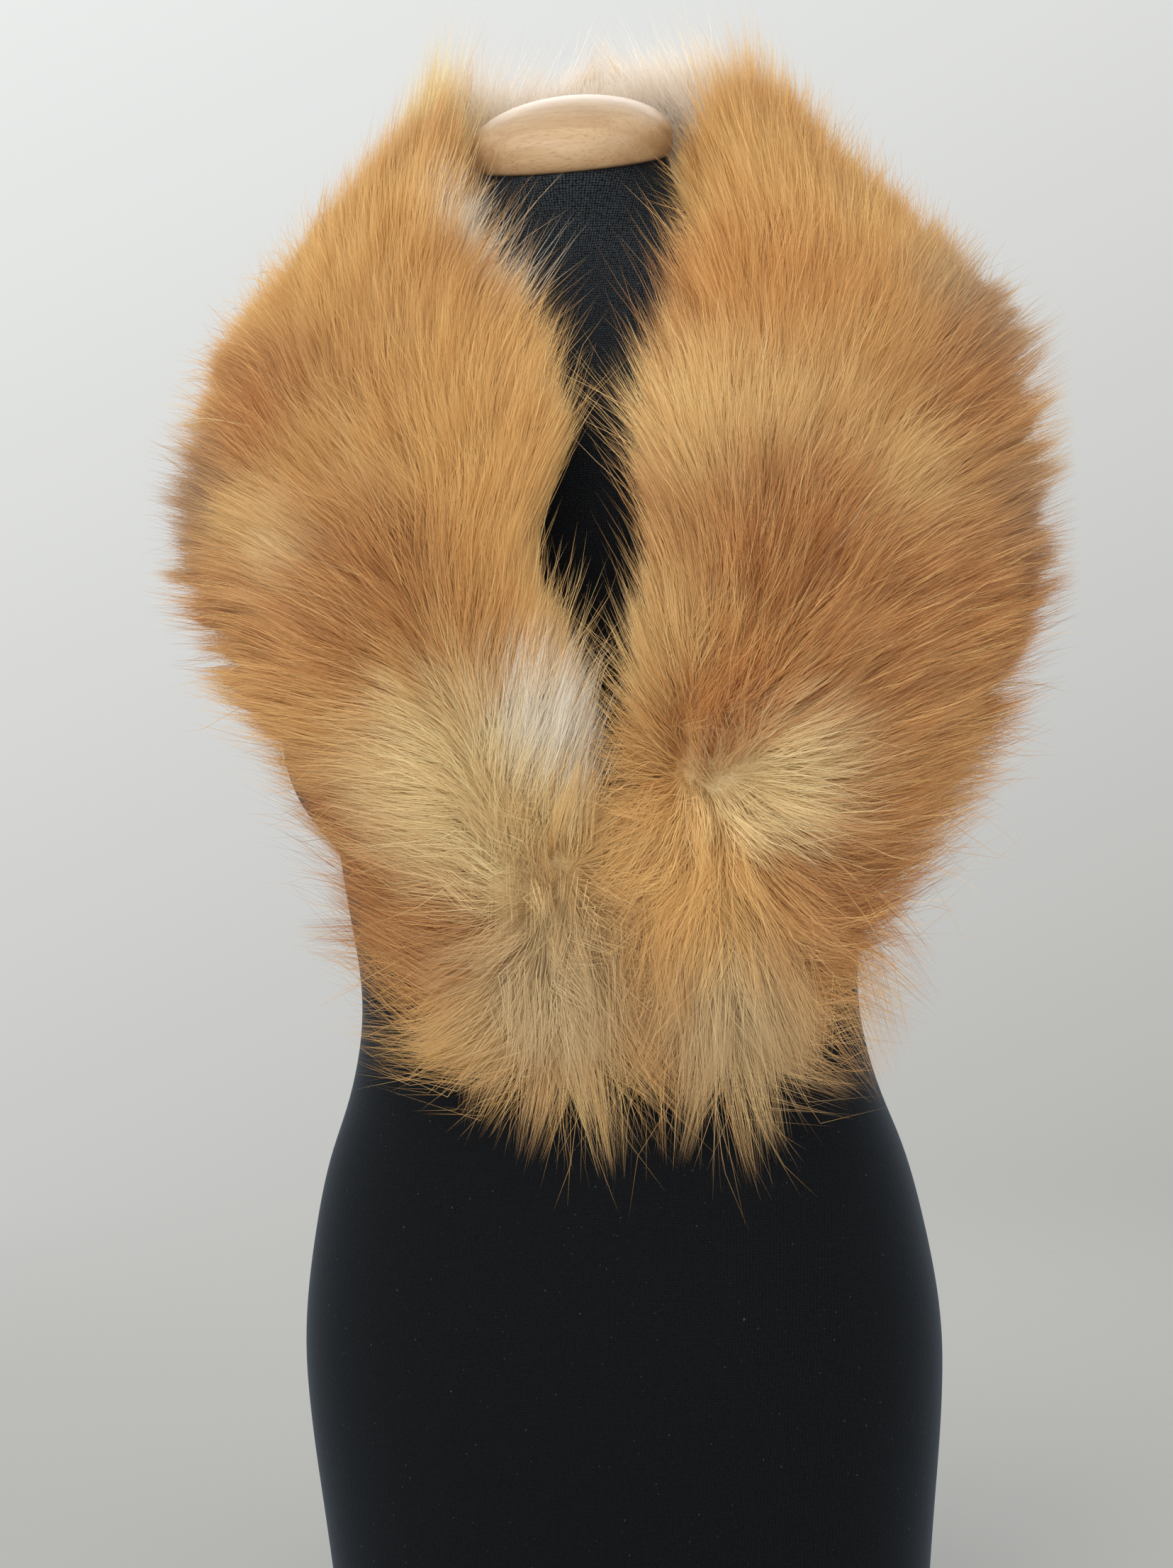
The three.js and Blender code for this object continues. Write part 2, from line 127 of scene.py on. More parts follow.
def addCamera():
    turn = math.radians(view["azimuth"])
    right = Vector((math.cos(turn), math.sin(turn), 0))
    back = Vector((math.sin(turn), -math.cos(turn), 0))
    up = Vector((0, 0, 1))
    roll = math.radians(view["roll"])
    xAxis = right * math.cos(roll) - up * math.sin(roll)
    yAxis = right * math.sin(roll) + up * math.cos(roll)
    place = right * view["aside"] + back * view["distance"] + up * view["height"]
    data = bpy.data.cameras.new("camera")
    data.sensor_width = view["sensor"]
    data.lens = view["lens"]
    camera = bpy.data.objects.new("camera", data)
    rotation = Matrix((xAxis, yAxis, back)).transposed().to_4x4()
    camera.matrix_world = Matrix.Translation(place) @ rotation
    bpy.context.scene.collection.objects.link(camera)
    bpy.context.scene.camera = camera


room = {
    "paleWall": "#F2F4F3",  # up and to the left, where the light comes from
    "greyWall": "#A9A8A4",  # down and to the right
    "sideways": -0.55,  # how fast the wall gets paler to the right and upwards, so it pales to the left
    "upwards": 1.3,
    "greyAt": -0.32,
    "paleAt": 0.68,
    "worldStrength": 1.0,
    "floorTone": "#A6A6A3",
    "floorRadius": 2.2,
    "floorDrop": 0.5 * mm,
    "floorFades": (0.55, 2.0),  # metres from the middle
}


def addRoom():
    world = bpy.data.worlds.new("pale room")
    bpy.context.scene.world = world
    world.use_nodes = True
    background = world.node_tree.nodes["Background"]
    direction = addNode(world, "TexCoord")
    parts = addNode(world, "SeparateXYZ", links={"Vector": direction.outputs["Generated"]})
    sideways = addNode(world, "Math", {1: room["sideways"]}, {0: parts.outputs["X"]}, operation="MULTIPLY")
    upwards = addNode(world, "Math", {1: room["upwards"]}, {0: parts.outputs["Z"]}, operation="MULTIPLY")
    both = addNode(world, "Math", links={0: sideways.outputs[0], 1: upwards.outputs[0]}, operation="ADD")
    share = addNode(
        world, "MapRange", {"From Min": room["greyAt"], "From Max": room["paleAt"]},
        {"Value": both.outputs[0]},
    )
    tone = addNode(
        world, "Mix", {"A": rgba(room["greyWall"]), "B": rgba(room["paleWall"])},
        {"Factor": share.outputs["Result"]}, data_type="RGBA",
    )
    link(world, tone.outputs["Result"], background.inputs["Color"])
    background.inputs["Strength"].default_value = room["worldStrength"]

    startPiece()
    bpy.ops.mesh.primitive_circle_add(
        vertices=96, radius=room["floorRadius"], fill_type="TRIFAN", location=(0, 0, -room["floorDrop"])
    )
    floor = bpy.context.object
    floor.name = "pale_floor"
    # matt studio floor: pale, and it fades into the room with no edge
    material, shader = newMaterial("matt pale floor", Roughness=0.85)
    shader.inputs["Base Color"].default_value = rgba(room["floorTone"])
    place = addNode(material, "TexCoord")
    distance = addNode(material, "VectorMath", links={0: place.outputs["Object"]}, operation="LENGTH")
    fadeFrom, fadeTo = room["floorFades"]
    fade = addNode(
        material, "MapRange", {"From Min": fadeFrom, "From Max": fadeTo, "To Min": 1, "To Max": 0},
        {"Value": distance.outputs["Value"]}, interpolation_type="SMOOTHSTEP",
    )
    clear = addNode(material, "BsdfTransparent")
    blend = addNode(
        material, "MixShader", links={0: fade.outputs["Result"], 1: clear.outputs[0], 2: shader.outputs[0]}
    )
    link(material, blend.outputs[0], material.node_tree.nodes["Material Output"].inputs["Surface"])
    floor.data.materials.append(material)


lampAim = (0, 0, 0.6)
lamps = [  # name, place, size, watts, colour
    ("key", (-1.1, -2.2, 1.9), 2.2, 29, "#FFFCF6"),
    ("front", (0.4, -2.5, 0.6), 2.4, 33, "#FFFCF6"),
    ("fill", (2.0, -1.3, 1.0), 2.0, 13, "#F6F8FF"),
    ("back", (-0.2, 1.9, 1.5), 1.6, 16, "#FFFFFF"),
]


def addLamps():
    for name, place, size, watts, colour in lamps:
        data = bpy.data.lights.new(name, "AREA")
        data.size = size
        data.energy = watts
        data.color = toLinear(colour)
        lamp = bpy.data.objects.new(name, data)
        aim = Vector(lampAim) - Vector(place)
        lamp.matrix_world = Matrix.Translation(place) @ aim.to_track_quat("-Z", "Y").to_matrix().to_4x4()
        bpy.context.scene.collection.objects.link(lamp)


# dress form in its jersey cover

jersey = {
    "betweenStitches": "#040506",
    "yarn": "#101216",
    "paintedLightYarn": "#3A4046",  # painted light: paler yarn on the neck, as if the light falls on it more strongly
    "paintedLightHeights": (0.6, 0.8),  # metres above the bottom, over which the painted light fades in
    "lint": "#54544F",
    "lintPerMetre": 420,  # so a speck is a millimetre or two long
    "sheen": "#6B7784",
    "sheenWeight": 0.6,
    "sheenRoughness": 0.45,
    "stitchPitch": 1.7 * mm,  # real stitches are 1.3 mm apart, and these are drawn wider so that they show
    "rowsPerColumn": 1.25,  # a stitch is wider than it is high
    "stitchDepth": 0.3 * mm,
    "uvSpan": 1.25,  # metres of cloth that the UV map holds
    "uvBottom": 0.05,
    "levels": [0.02, 0.15, 0.3, 0.4, 0.5, 0.6, 0.68, 0.74, 0.79, 0.83],  # heights where the girth is taken
    "levelBand": 0.02,  # metres above and below a height whose points are used
}
formShape = {"weld": 0.05 * mm, "rimAngle": 55, "rimCrease": 0.9, "rounding": 2, "smoothAngle": 50}


def jerseyMaterial():
    # knitted polyester jersey, dyed black: matt, a bluish bloom where it turns away, rows of stitches, and
    # painted light that makes it paler up the neck
    material, shader = newMaterial("black knitted jersey", Roughness=0.8, Specular_IOR_Level=0.08)
    shader.inputs["Sheen Weight"].default_value = jersey["sheenWeight"]
    shader.inputs["Sheen Roughness"].default_value = jersey["sheenRoughness"]
    shader.inputs["Sheen Tint"].default_value = rgba(jersey["sheen"])
    cloth = addNode(material, "UVMap", uv_map="cloth")
    columns = jersey["uvSpan"] / jersey["stitchPitch"]
    rows = addNode(
        material, "Mapping", {"Scale": (columns, columns * jersey["rowsPerColumn"], 1)},
        {"Vector": cloth.outputs["UV"]},
    )
    stitches = addNode(material, "TexVoronoi", {"Scale": 1, "Randomness": 0.3}, {"Vector": rows.outputs[0]})
    spots = addNode(
        material, "MapRange", {"From Min": 0.1, "From Max": 0.6, "To Min": 1, "To Max": 0},
        {"Value": stitches.outputs["Distance"]},
    )
    metres = (jersey["uvSpan"],) * 3
    lintPlace = addNode(material, "Mapping", {"Scale": metres}, {"Vector": cloth.outputs["UV"]})
    lint = addNode(
        material, "TexNoise", {"Scale": jersey["lintPerMetre"], "Detail": 1}, {"Vector": lintPlace.outputs[0]}
    )
    specks = addNode(
        material, "MapRange", {"From Min": 0.74, "From Max": 0.8, "To Max": 0.5},
        {"Value": lint.outputs["Fac"]},
    )
    place = addNode(material, "TexCoord")
    height = addNode(material, "SeparateXYZ", links={"Vector": place.outputs["Object"]})
    # painted light: the yarn pales towards the neck, as if lit more strongly there
    lightFrom, lightTo = jersey["paintedLightHeights"]
    stretch = addNode(
        material, "MapRange", {"From Min": lightFrom, "From Max": lightTo}, {"Value": height.outputs["Z"]}
    )
    yarn = addNode(
        material, "Mix", {"A": rgba(jersey["yarn"]), "B": rgba(jersey["paintedLightYarn"])},
        {"Factor": stretch.outputs[0]}, data_type="RGBA",
    )
    knit = addNode(
        material, "Mix", {"A": rgba(jersey["betweenStitches"])},
        {"Factor": spots.outputs[0], "B": yarn.outputs["Result"]}, data_type="RGBA",
    )
    tone = addNode(
        material, "Mix", {"B": rgba(jersey["lint"])},
        {"Factor": specks.outputs[0], "A": knit.outputs["Result"]}, data_type="RGBA",
    )
    bump = addNode(
        material, "Bump", {"Strength": 0.35, "Distance": jersey["stitchDepth"]}, {"Height": spots.outputs[0]}
    )
    link(material, tone.outputs["Result"], shader.inputs["Base Color"])
    link(material, bump.outputs[0], shader.inputs["Normal"])
    return material


def addDressForm():
    startPiece()
    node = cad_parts["form_torso"]
    node.select_set(True)
    bpy.context.view_layer.objects.active = node
    bpy.ops.object.duplicate()
    form = bpy.context.object
    form.name = "dress_form"
    form.data.materials.clear()
    bpy.ops.object.mode_set(mode="EDIT")
    bpy.ops.mesh.select_all(action="SELECT")
    bpy.ops.mesh.remove_doubles(threshold=formShape["weld"])
    bpy.ops.mesh.tris_convert_to_quads(face_threshold=math.pi, shape_threshold=math.pi)
    bpy.ops.mesh.select_all(action="DESELECT")
    bpy.ops.object.mode_set(mode="OBJECT")
    mesh = form.data
    # the rims at the bottom and under the cap stay sharp when the rest is rounded
    crease = mesh.attributes.new("crease_edge", "FLOAT", "EDGE")
    normals = {}
    for face in mesh.polygons:
        for key in face.edge_keys:
            normals.setdefault(key, []).append(face.normal.copy())
    for edge in mesh.edges:
        sides = normals.get(edge.key, [])
        if len(sides) == 2 and sides[0].angle(sides[1]) > math.radians(formShape["rimAngle"]):
            crease.data[edge.index].value = formShape["rimCrease"]
    rounding = form.modifiers.new("rounding", "SUBSURF")
    rounding.levels = rounding.render_levels = formShape["rounding"]
    bpy.ops.object.modifier_apply(modifier="rounding")
    bpy.ops.object.shade_smooth_by_angle(angle=math.radians(formShape["smoothAngle"]))
    wrapJersey(form)
    form.data.materials.append(jerseyMaterial())
    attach(form, "root")
    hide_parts("form_torso")
    return form


def wrapJersey(form):
    # the cloth's own UV map: metres round the body against metres up it, seam at the centre back
    mesh = form.data
    points = np.empty(len(mesh.vertices) * 3)
    mesh.vertices.foreach_get("co", points)
    points = points.reshape(-1, 3)
    corners = np.empty(len(mesh.loops), dtype=int)
    mesh.loops.foreach_get("vertex_index", corners)
    turn = np.arctan2(points[:, 0], -points[:, 1])[corners]
    faceTurn = np.repeat([turn[f.loop_start] for f in mesh.polygons], [f.loop_total for f in mesh.polygons])
    turn = np.where(turn - faceTurn > math.pi, turn - 2 * math.pi, turn)
    turn = np.where(faceTurn - turn > math.pi, turn + 2 * math.pi, turn)
    girth = []
    for z in jersey["levels"]:
        ring = np.abs(points[:, 2] - z) < jersey["levelBand"]
        girth.append(np.hypot(*points[ring, :2].T).mean())
    radius = np.interp(points[corners, 2], jersey["levels"], girth)
    uv = np.empty((len(corners), 2))
    uv[:, 0] = 0.5 + turn * radius / jersey["uvSpan"]
    uv[:, 1] = jersey["uvBottom"] + points[corners, 2] / jersey["uvSpan"]
    while mesh.uv_layers:
        mesh.uv_layers.remove(mesh.uv_layers[0])
    mesh.uv_layers.new(name="cloth").data.foreach_set("uv", uv.ravel())


# turned beech cap

cap = {
    "rimRadius": 53.5 * mm,
    "rimFlat": 1.5 * mm,  # how far inside the rim the flat underside ends
    "rimRound": 0.6 * mm,
    "radius": 57 * mm,
    "bellyHeight": 13 * mm,
    "height": 38 * mm,
    "lean": 17,  # degrees to the front
    "seat": (0, -12 * mm, 839 * mm),
    "restGap": 0.3 * mm,
    "bellySteps": 6,
    "domeSteps": 24,
    "sides": 96,
    "weld": 0.02 * mm,
    "smoothAngle": 40,
    "grain": (9, 90, 150),  # per metre along the grain, which runs from side to side, and across it
    "flecks": (160, 900, 1500),
    "grainTurn": 0.06,  # radians
    "grainDepth": 0.2 * mm,
    "grainTones": [(0.3, "#AA8862"), (0.7, "#BEA17B")],
    "fleckTone": "#9C7150",
}


def beechMaterial():
    # turned beech with a satin varnish: pinkish tan, fine long grain with short dark flecks, soft broad shine
    material, shader = newMaterial("varnished turned beech", Roughness=0.36)
    shader.inputs["Coat Weight"].default_value = 0.25
    shader.inputs["Coat Roughness"].default_value = 0.3
    place = addNode(material, "TexCoord")
    turn = (math.radians(cap["lean"]), 0, cap["grainTurn"])
    along = addNode(
        material, "Mapping", {"Scale": cap["grain"], "Rotation": turn}, {"Vector": place.outputs["Object"]}
    )
    grain = addNode(
        material, "TexNoise", {"Scale": 1, "Detail": 4, "Distortion": 0.6}, {"Vector": along.outputs[0]}
    )
    fleckPlace = addNode(
        material, "Mapping", {"Scale": cap["flecks"], "Rotation": turn}, {"Vector": place.outputs["Object"]}
    )
    flecks = addNode(material, "TexNoise", {"Scale": 1, "Detail": 1}, {"Vector": fleckPlace.outputs[0]})
    fleckShare = addNode(
        material, "MapRange", {"From Min": 0.56, "From Max": 0.68, "To Max": 0.6},
        {"Value": flecks.outputs["Fac"]},
    )
    ramp = addNode(material, "ValToRGB", links={"Fac": grain.outputs["Fac"]})
    for stop, (at, hexTone) in zip(ramp.color_ramp.elements, cap["grainTones"]):
        stop.position = at
        stop.color = rgba(hexTone)
    tone = addNode(
        material, "Mix", {"B": rgba(cap["fleckTone"])},
        {"Factor": fleckShare.outputs[0], "A": ramp.outputs["Color"]}, data_type="RGBA",
    )
    bump = addNode(
        material, "Bump", {"Strength": 0.12, "Distance": cap["grainDepth"]}, {"Height": grain.outputs["Fac"]}
    )
    link(material, tone.outputs["Result"], shader.inputs["Base Color"])
    link(material, bump.outputs[0], shader.inputs["Normal"])
    return material


def addNeckCap():
    # half the profile is drawn as a line of points and spun round, as it was turned on the lathe
    startPiece()
    bpy.ops.mesh.primitive_plane_add(size=0.01)
    turned = bpy.context.object
    turned.name = "beech_neck_cap"
    rimRadius, rimRound, bellyHeight = cap["rimRadius"], cap["rimRound"], cap["bellyHeight"]
    profile = [(0.0, 0.0), (rimRadius - cap["rimFlat"], 0.0), (rimRadius, rimRound)]
    for i in range(1, cap["bellySteps"]):
        bend = math.pi / 2 * i / cap["bellySteps"]
        profile.append((
            rimRadius + (cap["radius"] - rimRadius) * math.sin(bend),
            rimRound + (bellyHeight - rimRound) * (1 - math.cos(bend)),
        ))
    for i in range(cap["domeSteps"]):
        bend = math.pi / 2 * i / cap["domeSteps"]
        rise = (cap["height"] - bellyHeight) * math.sin(bend)
        profile.append((cap["radius"] * math.cos(bend), bellyHeight + rise))
    profile.append((0.0, cap["height"]))
    turned.data.clear_geometry()
    lines = [(i, i + 1) for i in range(len(profile) - 1)]
    turned.data.from_pydata([(r, 0, z) for r, z in profile], lines, [])
    bpy.ops.object.mode_set(mode="EDIT")
    bpy.ops.mesh.select_all(action="SELECT")
    bpy.ops.mesh.spin(steps=cap["sides"], angle=2 * math.pi, center=(0, 0, 0), axis=(0, 0, 1))
    bpy.ops.mesh.select_all(action="SELECT")
    bpy.ops.mesh.remove_doubles(threshold=cap["weld"])
    bpy.ops.mesh.normals_make_consistent(inside=False)
    bpy.ops.object.mode_set(mode="OBJECT")
    lean = math.radians(cap["lean"])
    seat = Vector(cap["seat"]) + cap["restGap"] * Vector((0, -math.sin(lean), math.cos(lean)))
    turned.data.transform(Matrix.Translation(seat) @ Matrix.Rotation(lean, 4, "X"))
    bpy.ops.object.shade_smooth_by_angle(angle=math.radians(cap["smoothAngle"]))
    turned.data.materials.append(beechMaterial())
    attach(turned, "root")
    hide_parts("neck_cap")
    return turned


# the pelts: leather

# Rows of values are stations along each band, from the centre back seam to the front end.
# neck, middle and outer: where the leather lies at the neck edge, in the middle and at the outer
# edge, in millimetres. pile: how deep the fur is, and tuft: how far it stands up at the neck edge.
# neckHang and outerHang: how far the hair may reach past each edge, against the usual.
# neckTrim and outerTrim: how much further in the leather is cut, as shares of the width.
# splay: how much the hair at the outer edge stands out sideways.
# lie: how the hair lies, in degrees from "up the band" round to the outer edge, at five places
# from the neck edge to the outer edge. Near its front end the hair fans out from a whorl, whose
# place is given as shares along and across the band, and its sizes in metres.
# endRound: how far the front end is cut back at its two corners, as shares of the length.
leftPelt = {
    "name": "left",
    "side": -1,
    "seed": 11,
    "flat": (0.22, 0.66),  # the leather's width and length when it lies flat, and its area
    "cutArea": 0.103,
    "whorl": (0.925, 0.24),
    "whorlSize": 0.045,
    "whorlWidth": 0.013,
    "fanReach": 0.06,
    "neck": [
        (0, 66, 890), (-48, 52, 886), (-78, 18, 862), (-64, -34, 834), (-30, -74, 790), (-14, -90, 738),
        (14, -112, 672), (4, -132, 612), (28, -142, 552), (42, -138, 452), (45, -116, 346),
    ],
    "middle": [
        (0, 92, 800), (-76, 76, 798), (-112, 24, 789), (-130, -24, 774), (-112, -68, 724), (-108, -94, 672),
        (-92, -119, 617), (-76, -139, 562), (-50, -148, 504), (-36, -134, 422), (-20, -112, 336),
    ],
    "outer": [
        (0, 130, 706), (-104, 118, 716), (-166, 64, 718), (-204, 12, 700), (-208, -12, 676), (-210, -16, 636),
        (-200, -28, 600), (-162, -72, 556), (-128, -112, 496), (-114, -100, 428), (-90, -102, 362),
    ],
    "pile": [48, 46, 36, 34, 43, 46, 48, 48, 47, 45, 40],
    "tuft": [18, 6, 18, 12, 0, 0, 0, 0, 0, 0, 0],
    "neckHang": [1, 1, 2.0, 1.6, 0.7, 1.0, 0.8, 0.25, 0.4, 0.9, 1.0],
    "outerHang": [1, 1, 1, 1, 1.1, 1.2, 1.3, 1.5, 2.0, 1.8, 1.2],
    "endRound": (0.02, 0.07),
    "neckTrim": [-0.03, -0.03, -0.05, -0.06, 0.02, -0.03, -0.06, -0.05, 0, 0, 0],
    "outerTrim": [0, 0, 0, 0, 0, 0, 0, 0.02, 0.12, 0.17, 0.13],
    "splay": [0, 0, 0, 0, 0.2, 0.4, 0.7, 1, 1, 0.7, 0.2],
    "lie": [
        (-50, -25, 0, 25, 55), (-50, -25, 0, 25, 55), (-60, -25, 0, 22, 55), (-72, -34, -8, 22, 60),
        (-80, -38, -10, 24, 65), (-80, -38, -4, 32, 72), (-60, -15, 18, 48, 84), (-30, -15, 28, 62, 92),
        (-62, -50, 40, 82, 104), (-75, -55, 58, 92, 110), (-30, 5, 50, 80, 100),
    ],
}
rightPelt = {
    "name": "right",
    "side": 1,
    "seed": 23,
    "flat": (0.20, 0.66),
    "cutArea": 0.098,
    "whorl": (0.865, 0.24),
    "whorlSize": 0.05,
    "whorlWidth": 0.01,
    "fanReach": 0.11,
    "neck": [
        (0, 66, 890), (48, 54, 888), (84, 22, 864), (68, -26, 836), (60, -66, 794), (54, -88, 738),
        (42, -116, 676), (56, -132, 610), (56, -142, 552), (56, -138, 462), (52, -116, 346),
    ],
    "middle": [
        (0, 92, 800), (76, 80, 808), (122, 28, 798), (134, -14, 776), (138, -62, 738), (136, -90, 684),
        (130, -116, 630), (126, -136, 572), (118, -146, 508), (112, -124, 440), (98, -104, 336),
    ],
    "outer": [
        (0, 130, 706), (106, 122, 722), (182, 68, 734), (220, 20, 720), (232, -4, 688), (236, -4, 644),
        (232, -8, 600), (222, -20, 556), (208, -38, 502), (190, -58, 446), (158, -74, 372),
    ],
    "pile": [48, 48, 44, 46, 46, 47, 48, 49, 49, 47, 40],
    "tuft": [14, 6, 6, 4, 0, 0, 0, 0, 0, 0, 0],
    "neckHang": [1, 1.4, 2.2, 1.3, 0.5, 1.0, 1.3, 0.6, 0.8, 1.0, 1.0],
    "outerHang": [1, 1, 1, 1, 1.2, 1.3, 1.4, 1.6, 1.5, 1.2, 1.0],
    "endRound": (0.02, 0.13),
    "neckTrim": [-0.03, -0.04, -0.06, 0, 0.1, 0.08, 0.06, 0.05, 0.02, 0, 0],
    "outerTrim": [0, 0, 0, 0, 0, 0, -0.02, -0.03, 0.01, 0.1, 0.2],
    "splay": [0, 0, 0, 0.2, 0.4, 0.7, 1, 1, 1, 0.7, 0.2],
    "lie": [
        (-50, -25, 0, 25, 55), (-55, -25, -5, 15, 50), (-60, -25, -10, 0, 30), (-65, -25, -12, -5, 10),
        (-65, -22, -10, 12, 48), (-65, -20, -4, 30, 65), (-60, -15, 6, 44, 76), (-50, -10, 16, 56, 84),
        (-40, -5, 26, 66, 92), (-40, -5, 30, 70, 96), (-40, -5, 30, 70, 96),
    ],
}
meetingLine = {"z": [300, 440, 560, 670, 800], "x": [48, 50, 43, 29, 16]}  # where the ends meet in front
bandLength = 0.78  # round figures, in metres, that turn shares of the band into distances
bandWidth = 0.23
gridAlong = 160  # the fine grid on which the leather is laid
gridAcross = 56
bandMesh = {"along": 80, "across": 20, "weld": 0.02 * mm}  # the leather's and the base's own meshes
pileRoundness = 2.6  # over 2, so the fur is fuller at its edges than an ellipse
endTaper = 0.27  # share of the length over which the fur gets shallower to the front end
trim = {"edge": 0.09, "end": 0.975, "cornerPower": 2.4}  # how far inside the fur's outline the leather ends
seamGap = 0.15 * mm  # from a pelt to the seam's own plane
leatherGap = 1.6 * mm  # between the leather and the form
skinThickness = 1.2 * mm
baseShare = 0.5  # how much of the fur's depth the dense base fills


def alongRows(rows, along):
    # values between the stations, on a smooth curve through them
    rows = np.asarray(rows, dtype=float)
    if rows.ndim == 1:
        rows = rows[:, None]
    at = np.clip(along, 0, 1) * (len(rows) - 1)
    i = np.clip(np.floor(at).astype(int), 0, len(rows) - 2)
    u = (at - i)[:, None]
    padded = np.vstack([2 * rows[:1] - rows[1:2], rows, 2 * rows[-1:] - rows[-2:-1]])
    before, a, b, after = (padded[i + k] for k in range(4))
    slopeA, slopeB, d = (b - before) / 2, (after - a) / 2, b - a
    return a + u * (slopeA + u * (3 * d - 2 * slopeA - slopeB + u * (slopeA + slopeB - 2 * d)))


def pushOff(points, tree, gap):
    # lifts points that lie in a body, or too near it, to the gap
    moved = points.copy()
    for k, p in enumerate(points):
        near, normal, _, _ = tree.find_nearest(p)
        if near is not None and (Vector(p) - near).dot(normal) < gap:
            moved[k] = near + normal * gap
    return moved


def keepToOwnSide(points, side):
    # behind, the pelts part at the seam, and in front at the line where their ends meet
    meetX = np.interp(points[..., 2] / mm, meetingLine["z"], meetingLine["x"]) * mm
    line = np.where(points[..., 1] > 0, 0, meetX) + side * seamGap
    points[..., 0] = side * np.maximum(side * points[..., 0], side * line)
    return points


def blur(grid, rounds):
    for _ in range(rounds):
        padded = np.pad(grid, ((1, 1), (1, 1), (0, 0)), mode="edge")
        grid = (2 * grid + padded[:-2, 1:-1] + padded[2:, 1:-1] + padded[1:-1, :-2] + padded[1:-1, 2:]) / 6
    return grid


def layLeather(pelt, formTree, capTree):
    # a grid over the band: where the leather lies, and its own directions there
    along, across = np.meshgrid(
        np.linspace(0, trim["end"], gridAlong + 1), np.linspace(0, 1, gridAcross + 1), indexing="ij"
    )
    beyond = 2 * across - 1
    corner = np.where(beyond < 0, pelt["endRound"][0], pelt["endRound"][1])
    roundOff = corner * np.abs(beyond) ** trim["cornerPower"]
    a = (along * (1 - roundOff)).ravel()
    neckEdge = trim["edge"] + alongRows(pelt["neckTrim"], a)[:, 0]
    outerEdge = 1 - trim["edge"] - alongRows(pelt["outerTrim"], a)[:, 0]
    c = mix(neckEdge, outerEdge, across.ravel())[:, None]
    points = mm * (
        alongRows(pelt["neck"], a) * (2 * c - 1) * (c - 1)
        + alongRows(pelt["middle"], a) * 4 * c * (1 - c)
        + alongRows(pelt["outer"], a) * c * (2 * c - 1)
    )
    shape = (gridAlong + 1, gridAcross + 1, 3)
    for _ in range(2):
        points = pushOff(points, formTree, leatherGap)
        points = pushOff(points, capTree, leatherGap)
        points = blur(points.reshape(shape), rounds=2).reshape(-1, 3)
    points = pushOff(pushOff(points, formTree, leatherGap), capTree, leatherGap).reshape(shape)
    points[0, :, 0] = pelt["side"] * seamGap
    points = keepToOwnSide(points, pelt["side"])
    forward = unit(blur(np.gradient(points, axis=0), rounds=3))
    outward = unit(blur(np.gradient(points, axis=1), rounds=3))
    normal = unit(blur(unit(np.cross(forward, outward) * pelt["side"]), rounds=4))
    pelt.update(leather=points, forward=forward, outward=outward, normal=normal)


def sample(grid, along, across):
    # a grid's value between its points
    x = np.clip(along, 0, 1) * (grid.shape[0] - 1)
    y = np.clip(across, 0, 1) * (grid.shape[1] - 1)
    i = np.clip(x.astype(int), 0, grid.shape[0] - 2)
    j = np.clip(y.astype(int), 0, grid.shape[1] - 2)
    u, v = (x - i)[:, None], (y - j)[:, None]
    return (
        grid[i, j] * (1 - u) * (1 - v) + grid[i + 1, j] * u * (1 - v)
        + grid[i, j + 1] * (1 - u) * v + grid[i + 1, j + 1] * u * v
    )


def furDepth(pelt, along, across):
    # how deep the fur is over the leather
    profile = (1 - np.abs(2 * across - 1) ** pileRoundness) ** (1 / pileRoundness)
    toEnd = np.maximum((along - (1 - endTaper)) / endTaper, 0)
    taper = np.sqrt(np.maximum(1 - toEnd**2, 0))
    return alongRows(pelt["pile"], along)[:, 0] * mm * profile * taper


def ripple(points, size, seed, count=7):
    # soft repeatable noise over space, mostly from -1 to 1, made of crossing waves about size long
    source = np.random.default_rng(seed)
    total = np.zeros(len(points))
    for _ in range(count):
        heading = unit(source.normal(size=3))
        wave = 2 * math.pi / (size * source.uniform(0.7, 1.5))
        total += np.sin(points @ heading * wave + source.uniform(0, 2 * math.pi))
    return total / math.sqrt(count)


def wrapBand(name, lower, upper):
    # a closed band: a grid that runs over the top and back along the underside
    n = lower.shape[1] - 1
    startPiece()
    bpy.ops.mesh.primitive_grid_add(x_subdivisions=2 * n, y_subdivisions=lower.shape[0] - 1, size=1)
    band = bpy.context.object
    band.name = name
    loop = np.concatenate([upper, lower[:, ::-1][:, 1:]], axis=1)
    band.data.vertices.foreach_set("co", loop.reshape(-1))
    band.data.update()
    bpy.ops.object.mode_set(mode="EDIT")
    bpy.ops.mesh.select_all(action="SELECT")
    bpy.ops.mesh.remove_doubles(threshold=bandMesh["weld"])
    bpy.ops.mesh.fill_holes(sides=0)
    bpy.ops.mesh.select_all(action="SELECT")
    bpy.ops.mesh.quads_convert_to_tris()
    bpy.ops.mesh.normals_make_consistent(inside=False)
    bpy.ops.object.mode_set(mode="OBJECT")
    bpy.ops.object.shade_smooth()
    return band


skinLook = {"tones": ("#CDB896", "#E2D3B8"), "patchesPerMetre": 35, "napPerMetre": 700, "napDepth": 0.2 * mm}


